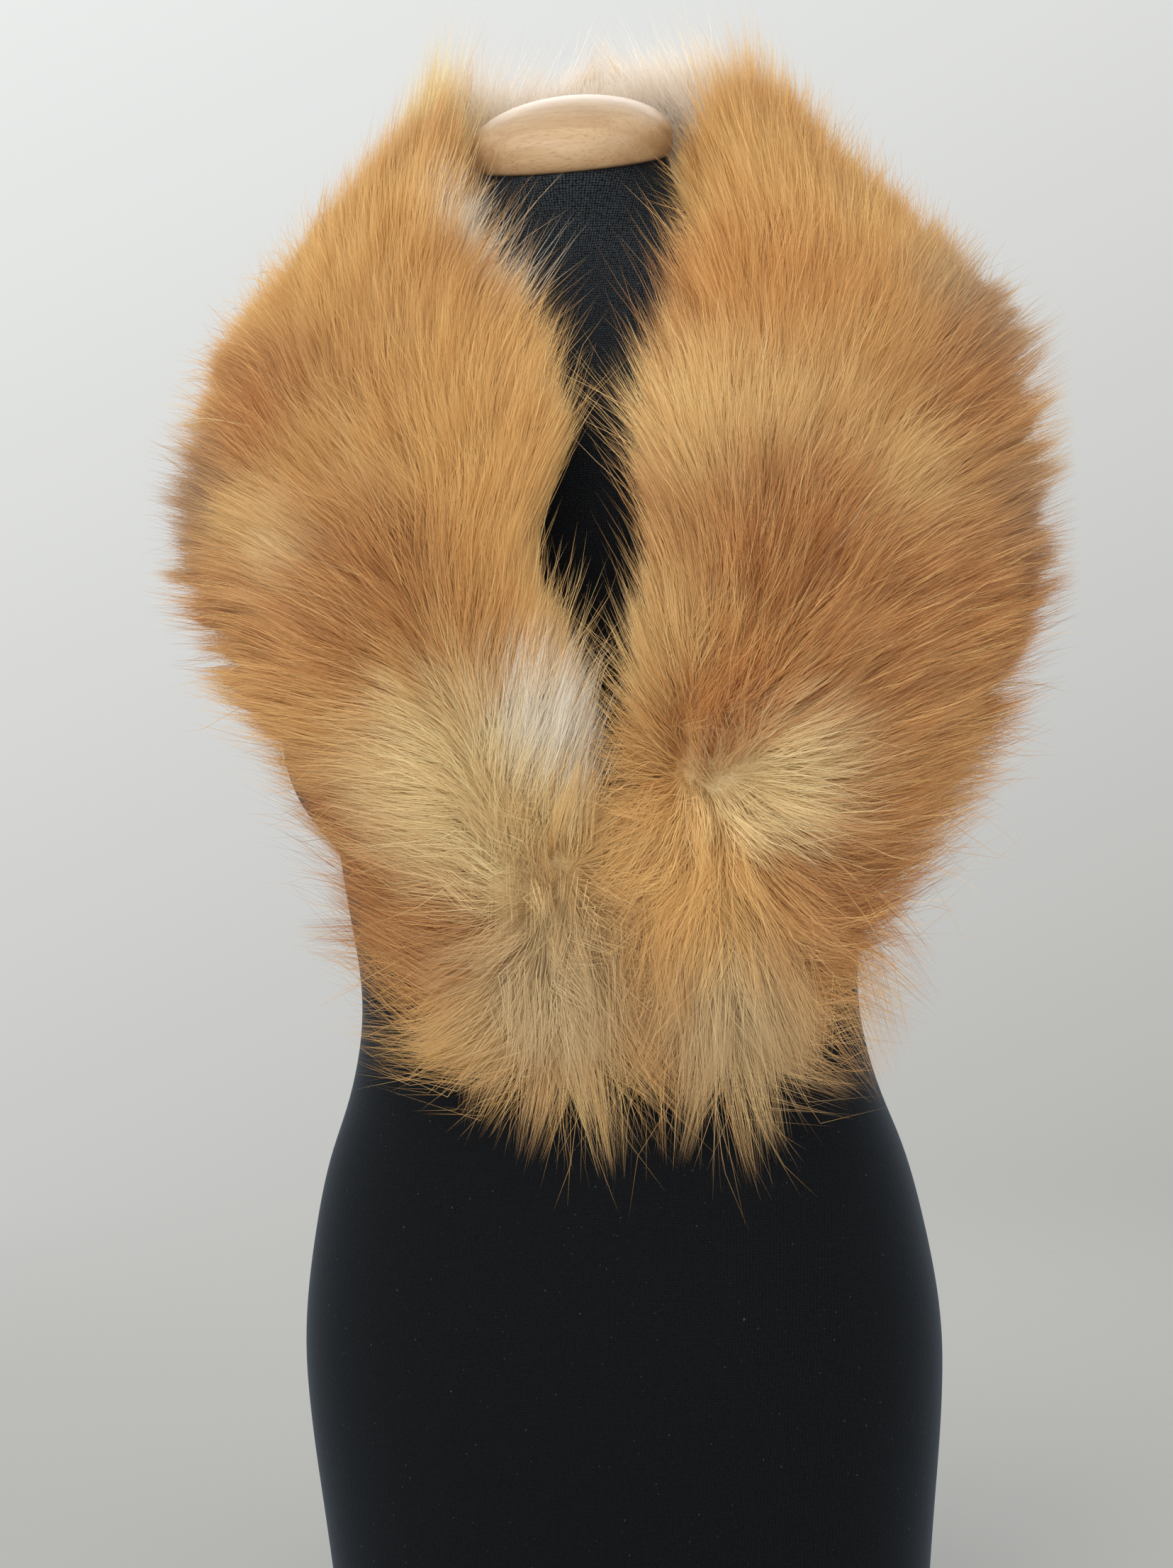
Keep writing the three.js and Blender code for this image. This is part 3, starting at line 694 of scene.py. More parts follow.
def leatherMaterial():
    # alum dressed fox leather: off-white suede, matt, with a fine felted nap
    material, shader = newMaterial("dressed fox leather", Roughness=0.9, Specular_IOR_Level=0.2)
    place = addNode(material, "TexCoord")
    nap, patches = (
        addNode(material, "TexNoise", {"Scale": scale, "Detail": 3}, {"Vector": place.outputs["Object"]})
        for scale in (skinLook["napPerMetre"], skinLook["patchesPerMetre"])
    )
    dark, pale = skinLook["tones"]
    tone = addNode(
        material, "Mix", {"A": rgba(dark), "B": rgba(pale)}, {"Factor": patches.outputs["Fac"]},
        data_type="RGBA",
    )
    bump = addNode(
        material, "Bump", {"Strength": 0.4, "Distance": skinLook["napDepth"]}, {"Height": nap.outputs["Fac"]}
    )
    link(material, tone.outputs["Result"], shader.inputs["Base Color"])
    link(material, bump.outputs[0], shader.inputs["Normal"])
    return material


# the pelts: colour

furTones = {name: toLinear(value) for name, value in {
    "gold": "#E7BD77",
    "paleGold": "#EBCB8E",
    "rust": "#BE8148",
    "deepRust": "#C97F3D",
    "cream": "#F2DDAC",
    "white": "#F8F3E8",
    "greyCream": "#D0B98F",
    "brown": "#AC876A",
    "pink": "#F9F0E6",
    "orange": "#DBA45E",
    "ash": "#A08C74",
}.items()}

groundTone = ("gold", 0.3)
# streaks over the ground: tone, strength, stretch in height, size in millimetres, seed, steepness, level
groundStreaks = [("rust", 0.3, 0.6, 70, 5, 0.5, 0.4), ("paleGold", 0.5, 0.5, 36, 8, 0.6, 0)]
patchSharpness = 1.4
# patches of other colour: tone, place in millimetres, size, strength
colourPatches = {
    "left": [
        ("rust", (-161, -96, 703), 38, 3.0), ("brown", (-222, -60, 650), 34, 4.5),
        ("cream", (-128, -128, 610), 20, 9.0), ("deepRust", (-158, -100, 702), 20, 4.0),
        ("paleGold", (-160, -112, 642), 18, 4.0), ("rust", (-195, -82, 575), 44, 3.0),
        ("brown", (-165, -80, 572), 30, 2.4), ("gold", (-42, -101, 729), 50, 1.5),
        ("rust", (-110, -140, 588), 44, 2.4), ("rust", (-73, -169, 598), 36, 1.9),
        ("gold", (-2, -164, 616), 34, 2.0), ("paleGold", (22, -160, 575), 22, 2.5),
        ("white", (10, -178, 519), 20, 18.0), ("cream", (-32, -183, 486), 40, 9.0),
        ("paleGold", (14, -189, 474), 34, 4.0), ("rust", (-112, -134, 455), 42, 4.2),
        ("rust", (-70, -157, 420), 34, 1.8), ("greyCream", (0, -164, 375), 42, 4.0),
        ("brown", (3, -184, 450), 12, 3.0), ("cream", (-84, 2, 904), 30, 16.0),
        ("white", (-40, -74, 797), 16, 10.0), ("white", (-14, -88, 766), 17, 8.0),
        ("pink", (-30, 60, 890), 46, 8.0), ("orange", (-2, 62, 926), 9, 60.0),
        ("gold", (-120, -60, 770), 50, 1.5), ("cream", (-95, -130, 512), 27, 1.4),
        ("rust", (-40, -120, 770), 26, 1.0), ("rust", (-120, 120, 760), 50, 1.0),
        ("gold", (-60, 120, 820), 50, 1.0),
    ],
    "right": [
        ("paleGold", (112, -145, 664), 42, 4.5), ("brown", (216, -20, 724), 38, 3.0),
        ("rust", (134, -156, 618), 40, 7.0), ("greyCream", (202, -42, 744), 16, 3.0),
        ("rust", (222, -70, 690), 32, 3.0), ("rust", (215, -110, 594), 40, 3.6),
        ("deepRust", (112, -172, 522), 25, 8.0), ("rust", (163, -139, 545), 50, 2.8),
        ("cream", (129, -168, 494), 27, 16.0), ("rust", (236, -52, 556), 54, 2.8),
        ("brown", (240, -40, 620), 36, 2.2), ("rust", (157, -120, 445), 50, 2.6),
        ("greyCream", (96, -132, 356), 36, 3.0), ("gold", (80, -60, 800), 52, 1.5),
        ("orange", (112, -108, 746), 46, 2.4), ("paleGold", (194, -120, 636), 24, 4.0),
        ("paleGold", (70, -170, 560), 30, 2.4), ("pink", (30, 62, 890), 46, 8.0),
        ("gold", (90, -160, 430), 36, 1.4), ("rust", (60, -160, 640), 24, 1.2),
        ("rust", (54, -104, 738), 28, 4.0), ("rust", (130, 120, 770), 50, 1.0),
        ("gold", (60, 120, 820), 50, 1.0),
    ],
}


def furColour(points, side):
    # the mean of all the tones that reach a point, each by its own strength there
    total = np.full(len(points), groundTone[1])
    colour = total[:, None] * furTones[groundTone[0]]
    for tone, strength, stretch, size, seed, steepness, level in groundStreaks:
        streaks = ripple(points * (1, 1, stretch), size * mm, seed)
        weight = strength * smooth(streaks * steepness + level)
        total = total + weight
        colour = colour + weight[:, None] * furTones[tone]
    for tone, place, size, strength in colourPatches[side]:
        away = np.linalg.norm(points - mm * np.array(place), axis=1) / (size * mm)
        weight = (strength * np.exp(-(away**2))) ** patchSharpness
        total = total + weight
        colour = colour + weight[:, None] * furTones[tone]
    return colour / total[:, None]


def setColours(mesh, colours):
    layer = mesh.color_attributes.new("furTone", "FLOAT_COLOR", "POINT")
    layer.data.foreach_set("color", np.c_[colours, np.ones(len(colours))].astype(np.float32).ravel())


# the pelts: fur

# How every hair is laid. Sizes are in metres, angles in degrees, tuftFull in millimetres and splay in
# parts of the hair's own way. What is left are shares and powers.
hairLay = {
    "waves": (9, 40 * mm),  # degrees that the lie waves by, and how long the waves are
    "whorlWaves": (55, 16 * mm),
    "waveCount": 6,
    "rootUp": 0.8,  # how far up the base a hair starts
    "rootLeast": 1 * mm,
    "tipOver": 2 * mm,
    "tuftFull": 36,  # a tuft this high, at the neck edge, is longer and steeper by all of the next values
    "tuftFade": 3.5,
    "tuftGrowth": 0.8,
    "tuftRise": 2.6,
    "crestSize": 0.05,  # beside the seam at the centre back the hair stands up and is shorter
    "crestAngle": 72,
    "crestCut": 0.25,
    "knotSize": 0.028,  # and so it is in the whorl
    "knotAngle": 48,
    "knotShare": 0.8,
    "knotCut": 0.35,
    "endFrom": 0.86,  # over the last stretch of the band the hair is longer
    "endOver": 0.12,
    "lumps": (0.14, 26 * mm),
    "slopes": (0.05, 0.95),  # the sine of a hair's rise
    "leastLength": 0.25,
    "endHang": 1.9,  # hair reaches past the front end by this much of its overhang
    "splay": (0.6, 0.12),  # sideways, and what of that to the back
    "bendFrom": 0.3,
    "rise": (1.55, 1.1),  # a hair rises steeply at its root and lies down to its tip
}


def bandSpot(along, across):
    return np.c_[along * bandLength, across * bandWidth, np.zeros(len(along))]


def fromWhorl(pelt, along, across):
    # metres outwards and up the band
    beside = (across - pelt["whorl"][1]) * bandWidth
    above = (pelt["whorl"][0] - along) * bandLength
    return beside, above


def hairLie(pelt, along, across):
    # how the hair lies, in degrees: by the table, and away from the whorl near the front end
    table = alongRows(pelt["lie"], along)
    at = np.clip(across, 0, 1) * 4
    j = np.clip(at.astype(int), 0, 3)
    rows = np.arange(len(along))
    fan = mix(table[rows, j], table[rows, j + 1], at - j)
    beside, above = fromWhorl(pelt, along, across)
    aside = np.sign(beside) * np.maximum(np.abs(beside) - pelt["whorlWidth"], 0)
    radial = np.degrees(np.arctan2(aside, above))
    share = smooth(above / pelt["fanReach"])
    ruffle = np.exp(-(np.hypot(beside, above) / pelt["whorlSize"]) ** 2)
    spot = bandSpot(along, across)
    swing, size = hairLay["waves"]
    wave = swing * ripple(spot, size, pelt["seed"] + 9, hairLay["waveCount"])
    swing, size = hairLay["whorlWaves"]
    wave = wave + swing * ruffle * ripple(spot, size, pelt["seed"] + 4, hairLay["waveCount"])
    return mix(radial, fan, share) + wave


def hairPaths(pelt, hair, along, across, turn, size, bend, far=1.0):
    # the middle line of each hair: from its root in the base it follows the lie of the fur
    lay = hairLay
    depth = furDepth(pelt, along, across)
    normal = unit(sample(pelt["normal"], along, across))
    rootHeight = np.maximum(depth * baseShare * lay["rootUp"] - lay["rootLeast"], lay["rootLeast"])
    points = sample(pelt["leather"], along, across) + normal * rootHeight[:, None]
    tuft = np.maximum(alongRows(pelt["tuft"], along)[:, 0], 0) / lay["tuftFull"]
    tuft = tuft * (1 - across) ** lay["tuftFade"]
    crest = 1 - smooth(along * bandLength / lay["crestSize"])
    toEnd = smooth((along - lay["endFrom"]) / lay["endOver"])
    knot = np.exp(-((np.hypot(*fromWhorl(pelt, along, across)) / lay["knotSize"]) ** 2))
    length = hair["length"] * mm * size
    length = length * (1 + lay["tuftGrowth"] * tuft) * (1 + hair["endLength"] * toEnd)
    length = length * (1 - lay["knotCut"] * knot) * (1 - lay["crestCut"] * crest)
    lumpHeight, lumpSize = lay["lumps"]
    lump = 1 + lumpHeight * ripple(bandSpot(along, across), lumpSize, pelt["seed"] + 5, lay["waveCount"])
    gain = depth * hair["reach"] * lump - rootHeight + lay["tipOver"]
    lift = np.arcsin(np.clip(gain / length, *lay["slopes"]))
    lift = mix(lift, math.radians(lay["crestAngle"]), crest)
    lift = mix(lift, math.radians(lay["knotAngle"]), lay["knotShare"] * knot)
    lie = np.radians(hairLie(pelt, along, across) + turn)
    # a hair near an edge reaches only so far past it
    hang = hair["overhang"] * mm * size * far
    neckHang = hang * alongRows(pelt["neckHang"], along)[:, 0]
    outerHang = hang * alongRows(pelt["outerHang"], along)[:, 0]
    run = np.cos(lift) * np.sin(lie) * length
    room = bandWidth * (1 - 2 * trim["edge"]) * np.where(run < 0, across, 1 - across)
    room = room + np.where(run < 0, neckHang, outerHang)
    length = length * np.clip(room / np.maximum(np.abs(run), 1e-5), lay["leastLength"], 1)
    run = -np.cos(lift) * np.cos(lie) * length
    room = (1 - along) * bandLength * trim["end"] + lay["endHang"] * hang
    length = length * np.clip(room / np.maximum(run, 1e-5), lay["leastLength"], 1)
    outer = smooth((across - 0.5) / 0.4) * alongRows(pelt["splay"], along)[:, 0]
    sideways, backwards = lay["splay"]
    aside = sideways * outer[:, None] * np.array([pelt["side"], backwards * pelt["side"], 0])
    upright = (tuft * lay["tuftRise"])[:, None] * np.array([0, 0, 1.0])
    steps = hair["segments"]
    step = length / steps
    path = [points]
    a, c = along, across
    for k in range(steps):
        t = (k + 0.5) / steps
        if k:
            lie = np.radians(hairLie(pelt, np.clip(a, 0, 1), np.clip(c, 0, 1)) + turn)
        angle = lie + np.radians(bend) * (t - lay["bendFrom"])
        rise = lift * (lay["rise"][0] - lay["rise"][1] * t)
        up = unit(sample(pelt["normal"], a, c))
        forward = sample(pelt["forward"], a, c)
        outward = sample(pelt["outward"], a, c)
        heading = outward * np.sin(angle)[:, None] - forward * np.cos(angle)[:, None]
        heading = unit(heading - up * np.sum(heading * up, axis=1, keepdims=True))
        way = heading * np.cos(rise)[:, None] + up * np.sin(rise)[:, None]
        path.append(path[-1] + unit(way + aside + upright) * step[:, None])
        a = a - step * np.cos(rise) * np.cos(angle) / bandLength
        c = c + step * np.cos(rise) * np.sin(angle) / bandWidth
    return np.stack(path, axis=1), normal


edgeCrowding = {"gain": 1.1, "power": 5}


def rootPlaces(pelt, count, source):
    # random places over the band, as dense everywhere, and denser where the fur rounds over its edges
    leather = pelt["leather"]
    du, dv = np.diff(leather, axis=0)[:, :-1], np.diff(leather, axis=1)[:-1]
    area = np.linalg.norm(np.cross(du, dv), axis=2)
    middle = (np.arange(area.shape[1]) + 0.5) / area.shape[1]
    area = area * (1 + edgeCrowding["gain"] * np.abs(2 * middle - 1) ** edgeCrowding["power"])
    share = area.ravel() / area.sum()
    cell = source.choice(len(share), size=count, p=share)
    along = (cell // area.shape[1] + source.random(count)) / area.shape[0]
    across = (cell % area.shape[1] + source.random(count)) / area.shape[1]
    return along, across


def nearestLeader(along, across, spacing, seed):
    # a staggered net of lock centres over the band, and the nearest to each root
    rows, columns = max(int(bandLength / spacing), 1), max(int(bandWidth / spacing), 1)
    source = np.random.default_rng(seed)
    jitter = source.uniform(0.05, 0.95, size=(rows, columns, 2))
    i0, j0 = (along * rows).astype(int), (across * columns).astype(int)
    best, chosen = np.full(len(along), 1e9), np.zeros(len(along), dtype=int)
    for di in (-1, 0, 1):
        for dj in (-1, 0, 1):
            i, j = np.clip(i0 + di, 0, rows - 1), np.clip(j0 + dj, 0, columns - 1)
            away = (i + jitter[i, j, 0] - along * rows) ** 2 + (j + jitter[i, j, 1] - across * columns) ** 2
            nearer = away < best
            best = np.where(nearer, away, best)
            chosen = np.where(nearer, i * columns + j, chosen)
    grid = np.indices((rows, columns)).reshape(2, -1).T + jitter.reshape(-1, 2)
    return chosen, grid[:, 0] / rows, grid[:, 1] / columns


def leaderSet(pelt, hair, along, across, spacing, seed, swing, bendSpread):
    # a leading hair for each lock, and for each hair the path, turn, bend, size and tone of its leader
    chosen, leadAlong, leadAcross = nearestLeader(along, across, spacing, seed)
    source = np.random.default_rng(seed + 1)
    count = len(leadAlong)
    turn = source.normal(0, swing, count)
    bend = source.normal(0, bendSpread, count)
    size = source.uniform(*gather["leaderSizes"], count)
    tone = source.normal(0, 1, count)
    path, _ = hairPaths(pelt, hair, leadAlong, leadAcross, turn, size, bend)
    return path[chosen], turn[chosen], bend[chosen], size[chosen], tone[chosen]


# The kinds of hair. length, width, overhang and the spacings fine and lock are in millimetres, swing
# is in degrees. fineHold and lockHold: how far a hair is drawn to its fine and its big lock. reach:
# how far its tip rises, against the fur's depth. A higher wisps lets fewer hairs reach past the edges.
underFur = {
    "name": "underfur", "count": 99000, "segments": 1, "length": 34, "spread": 0.18, "width": 1.0,
    "reach": 0.84, "swing": 13, "fine": 5.5, "fineHold": 0.2, "lock": 17, "lockHold": 0.2, "rootShare": 0.1,
    "tipShare": 0.12, "toneSpread": 0.08, "overhang": 17, "wisps": 1.5, "endLength": 0.1, "seed": 100,
}
guardHair = {
    "name": "guard_hair", "count": 61000, "segments": 2, "length": 46, "spread": 0.22, "width": 0.41,
    "reach": 1.02, "swing": 11, "fine": 6.5, "fineHold": 0.38, "lock": 21, "lockHold": 0.28, "rootShare": 0.1,
    "tipShare": 0.35, "toneSpread": 0.17, "overhang": 28, "wisps": 2.4, "endLength": 0.3, "seed": 200,
}
longHair = {
    "name": "long_hair", "count": 34000, "segments": 2, "length": 56, "spread": 0.28, "width": 0.3,
    "reach": 1.15, "swing": 14, "fine": 8, "fineHold": 0.44, "lock": 22, "lockHold": 0.3, "rootShare": 0.1,
    "tipShare": 0.45, "toneSpread": 0.24, "overhang": 40, "wisps": 1.8, "endLength": 0.5, "seed": 400,
}
strayHair = {
    "name": "stray_hair", "count": 10000, "segments": 3, "length": 64, "spread": 0.28, "width": 0.28,
    "reach": 1.4, "swing": 23, "fine": 9, "fineHold": 0.2, "lock": 24, "lockHold": 0.15, "rootShare": 0.1,
    "tipShare": 0.5, "toneSpread": 0.22, "overhang": 64, "wisps": 1.0, "endLength": 0.5, "seed": 300,
}
collarHair = {  # the hair that rolls over the neck edge and covers the collar's inner side
    "name": "collar_hair",
    "count": 7600,
    "length": 40,
    "lengths": (0.55, 1.15),
    "width": 0.5,
    "strip": 0.2,  # how far in from the neck edge it grows
    "stretch": 0.48,  # how far along the band, and from where it gets shorter
    "fadeFrom": 0.36,
    "fadeOver": 0.12,
    "rootDepth": 0.3,  # millimetres
    "lean": 0.3,
    "rootWay": (0.8, -0.5, 0.35, 1.0),  # to the neck, away from the leather, straight up, and its own lean
    "tipWay": (0.9, 0, 0.55, 1.3),
    "bends": (0.45, 0.55),  # shares of its length before and after the bend
    "rootShare": 0,
    "tipShare": 0.3,
    "toneSpread": 0.12,
    "seed": 500,
}
# how hairs gather in locks, in degrees, metres and shares
gather = {
    "lockSpread": (7, 12),  # degrees that the big locks differ by in their turn and in their bend
    "fineSpread": (5, 8),
    "leaderSizes": (0.8, 1.25),
    "drift": (8, 90 * mm),  # degrees that the whole coat drifts by, and over what distance
    "turnShare": 0.7,  # what a hair takes over of its locks' turn, and of its big lock's bend
    "bendShare": 1.5,
    "ownBend": 12,
    "sizeLimits": (0.5, 1.5),
    "lockSize": (0.3, 0.7),  # a hair's length: its own share, and the share that goes with its lock's size
    "overhang": (0.35, 1.3),
    "finePower": 1.3,  # hairs close up towards their locks along their length by these powers
    "fineHolds": (0.5, 1.25),
    "lockPower": 1.8,
    "endLocks": (1.5, 0.84, 0.12),  # locks close up to points at the front end, from here, over this
    "edgeLocks": (1.1, 0.6, 0.3),  # and at the outer edge
    "jog": 9 * mm,  # a lock takes its colour from this far beside it, so patches meet in locks
}


def addHairPiece(pelt, hair, path, normal, colours, source, material):
    mesh = ribbonMesh(hair, path, normal, colours, source)
    piece = bpy.data.objects.new(f"{hair['name']}_{pelt['name']}", mesh)
    bpy.context.scene.collection.objects.link(piece)
    mesh.materials.append(material)
    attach(piece, "root")
    print("grown", piece.name, len(mesh.vertices), "points")


def hairCount(hair):
    return hair["count"] // 1


def growFur(pelt, hair, material, formTree, capTree):
    source = np.random.default_rng(hair["seed"] + pelt["seed"])
    count = hairCount(hair)
    along, across = rootPlaces(pelt, count, source)
    lockPath, lockTurn, lockBend, lockSize, lockTone = leaderSet(
        pelt, hair, along, across, hair["lock"] * mm, pelt["seed"] + 1, *gather["lockSpread"]
    )
    finePath, fineTurn, fineBend, _, fineTone = leaderSet(
        pelt, hair, along, across, hair["fine"] * mm, pelt["seed"] + 2, *gather["fineSpread"]
    )
    roots = sample(pelt["leather"], along, across)
    drift = gather["drift"][0] * ripple(roots, gather["drift"][1], pelt["seed"] + 7)
    turn = drift + gather["turnShare"] * lockTurn + gather["turnShare"] * fineTurn
    turn = turn + source.normal(0, hair["swing"], count)
    least, byLock = gather["lockSize"]
    size = np.clip(source.normal(1, hair["spread"], count), *gather["sizeLimits"])
    size = size * (least + byLock * lockSize)
    bend = gather["bendShare"] * lockBend + fineBend + source.normal(0, gather["ownBend"], count)
    # few hairs reach far past the edges, so they end in wisps
    least, most = gather["overhang"]
    far = least + most * source.random(count) ** hair["wisps"]
    path, normal = hairPaths(pelt, hair, along, across, turn, size, bend, far)
    t = np.linspace(0, 1, hair["segments"] + 1)[None, :, None]
    hold = (finePath - path) * hair["fineHold"] * t ** gather["finePower"]
    path = path + hold * source.uniform(*gather["fineHolds"], (count, 1, 1))
    (byEnd, endFrom, endOver), (byEdge, edgeFrom, edgeOver) = gather["endLocks"], gather["edgeLocks"]
    toEdge = np.maximum(
        byEnd * smooth((along - endFrom) / endOver), byEdge * smooth((across - edgeFrom) / edgeOver)
    )
    hold = hair["lockHold"] * (1 + toEdge)[:, None, None]
    path = path + (lockPath - path) * hold * t ** gather["lockPower"]
    path = keepOffForm(keepInRoom(path), along, across, formTree, capTree)
    jog = gather["jog"] * np.stack([np.sin(fineTone * 9 + k) for k in (0, 2, 4)], axis=1)
    colours = hairColours(pelt, hair, path, along, fineTone, lockTone, jog, source)
    addHairPiece(pelt, hair, path, normal, colours, source, material)


def growCollarHair(pelt, material, formTree, capTree):
    hair = collarHair
    source = np.random.default_rng(hair["seed"] + pelt["seed"])
    count = hairCount(hair)
    along = hair["stretch"] * source.random(count)
    across = hair["strip"] * source.random(count)
    normal = unit(sample(pelt["normal"], along, across))
    inward = -unit(sample(pelt["outward"], along, across))
    root = sample(pelt["leather"], along, across) - normal * hair["rootDepth"] * mm
    length = hair["length"] * mm * source.uniform(*hair["lengths"], count)
    length = (length * (1 - smooth((along - hair["fadeFrom"]) / hair["fadeOver"])))[:, None]
    lean = source.normal(0, hair["lean"], (count, 3))
    rootWay, tipWay = (
        unit(toNeck * inward + fromSkin * normal + np.array([0, 0, upwards]) + ownLean * lean)
        for toNeck, fromSkin, upwards, ownLean in (hair["rootWay"], hair["tipWay"])
    )
    bend = root + rootWay * length * hair["bends"][0]
    path = np.stack([root, bend, bend + tipWay * length * hair["bends"][1]], axis=1)
    path = keepOffForm(keepInRoom(path), along, across, formTree, capTree)
    even = np.zeros(count)
    colours = hairColours(pelt, hair, path, along, even, even, even[:, None], source)
    addHairPiece(pelt, hair, path, normal, colours, source, material)


furRoom = np.array([18, 15, 26]) * mm  # how far past the solids' own box a wisp may reach


def keepInRoom(path):
    # a hair that would reach too far past the fur's own size is made shorter
    low = np.array(cadBox[0]) - furRoom
    high = np.array(cadBox[1]) + furRoom
    root = path[:, :1]
    reach = path - root
    share = np.full(len(path), 1.0)
    for axis in range(3):
        most = reach[:, :, axis].max(axis=1)
        least = reach[:, :, axis].min(axis=1)
        roomUp = np.maximum(high[axis] - root[:, 0, axis], 0)
        roomDown = np.maximum(root[:, 0, axis] - low[axis], 0)
        share = np.minimum(share, np.where(most > roomUp, roomUp / np.maximum(most, 1e-6), 1))
        share = np.minimum(share, np.where(-least > roomDown, roomDown / np.maximum(-least, 1e-6), 1))
    return root + reach * share[:, None, None]


# which hairs lie on the form, as shares across and along the band, and how near
onForm = {"edge": 0.22, "end": 0.8, "search": 0.03, "gap": 1.2 * mm}


def keepOffForm(path, along, across, formTree, capTree):
    # hairs at the edges and the front end lie on the jersey, not in it
    near = np.flatnonzero((across < onForm["edge"]) | (across > 1 - onForm["edge"]) | (along > onForm["end"]))
    for k in near:
        for step in range(1, path.shape[1]):
            p = Vector(path[k, step])
            for tree in (formTree, capTree):
                place, normal, _, _ = tree.find_nearest(p, onForm["search"])
                if place is not None and (p - place).dot(normal) < onForm["gap"]:
                    p = place + normal * onForm["gap"]
            path[k, step] = p
    return path


hairTone = {
    "seenAt": 0.65,  # the place along a hair, and how far around it, where its patch is looked up
    "seenSpread": 4 * mm,
    "streaks": (0.55, 1.5),  # rust fur is streakier than gold, which has more green against its red
    "rustUnder": 0.56,  # green against red, under which fur starts to count as rust
    "rustOver": 0.1,
    "fineShade": 0.11,
    "lockShade": 0.07,
    "shadeTint": (0.7, 1.0, 1.25),
    "rootDark": 0.92,
    "rootUntil": 0.45,
    "paleTips": 0.5,
    "creamTip": 0.45,
    "darkTip": (0.74, 0.62, 0.52),
    "endFrom": 0.9,  # at the front end all tips are darker and redder
    "endOver": 0.1,
    "endTip": (0.78, 0.56, 0.36),
    "endShare": 0.85,
    "tipFrom": 0.4,
}


def hairColours(pelt, hair, path, along, fineTone, lockTone, lockJog, source):
    # ash at the root, the patch's own colour along the hair, then a darker or paler tip
    tune = hairTone
    count, places = path.shape[:2]
    at = tune["seenAt"] * (places - 1)
    seen = mix(path[:, int(at)], path[:, min(int(at) + 1, places - 1)], at - int(at))
    seen = seen + lockJog + source.normal(0, tune["seenSpread"], (count, 3))
    field = furColour(seen, pelt["name"])
    least, more = tune["streaks"]
    streaky = least + more * smooth((tune["rustUnder"] - field[:, 1] / field[:, 0]) / tune["rustOver"])
    ownShade = source.normal(0, hair["toneSpread"], count)
    shade = streaky * (tune["fineShade"] * fineTone + tune["lockShade"] * lockTone + ownShade)
    atEnd = smooth((along - tune["endFrom"]) / tune["endOver"])[:, None]
    own = field * np.exp(shade[:, None] * np.array(tune["shadeTint"]))
    ashRoot = mix(own * tune["rootDark"], furTones["ash"], hair["rootShare"])
    pale = source.random(count) < tune["paleTips"]
    creamTip = mix(own, furTones["cream"], tune["creamTip"])
    tip = np.where(pale[:, None], creamTip, own * np.array(tune["darkTip"]))
    tip = mix(tip, own * np.array(tune["endTip"]), tune["endShare"] * atEnd)
    byPlace = []
    for t in np.linspace(0, 1, places):
        colour = mix(ashRoot, own, smooth(t / tune["rootUntil"]))
        tipShare = hair["tipShare"] * smooth((t - tune["tipFrom"]) / (1 - tune["tipFrom"]))
        byPlace.append(mix(colour, tip, tipShare))
    return np.clip(np.stack(byPlace, axis=1), 0.001, 0.95)


ribbon = {
    "roll": 0.5,  # radians that the ribbons turn out of the fur's surface
    "widths": (0.75, 1.25),
    "rootWidth": 0.75,
    "widening": 1.2,
    "tipPowers": (1.6, 0.7),
    "uvAspect": 8,  # a hair's own place in the UV map is this many times as high as it is wide
    "uvSides": (0.2, 0.8),
    "uvEnds": (0.05, 0.9),
}


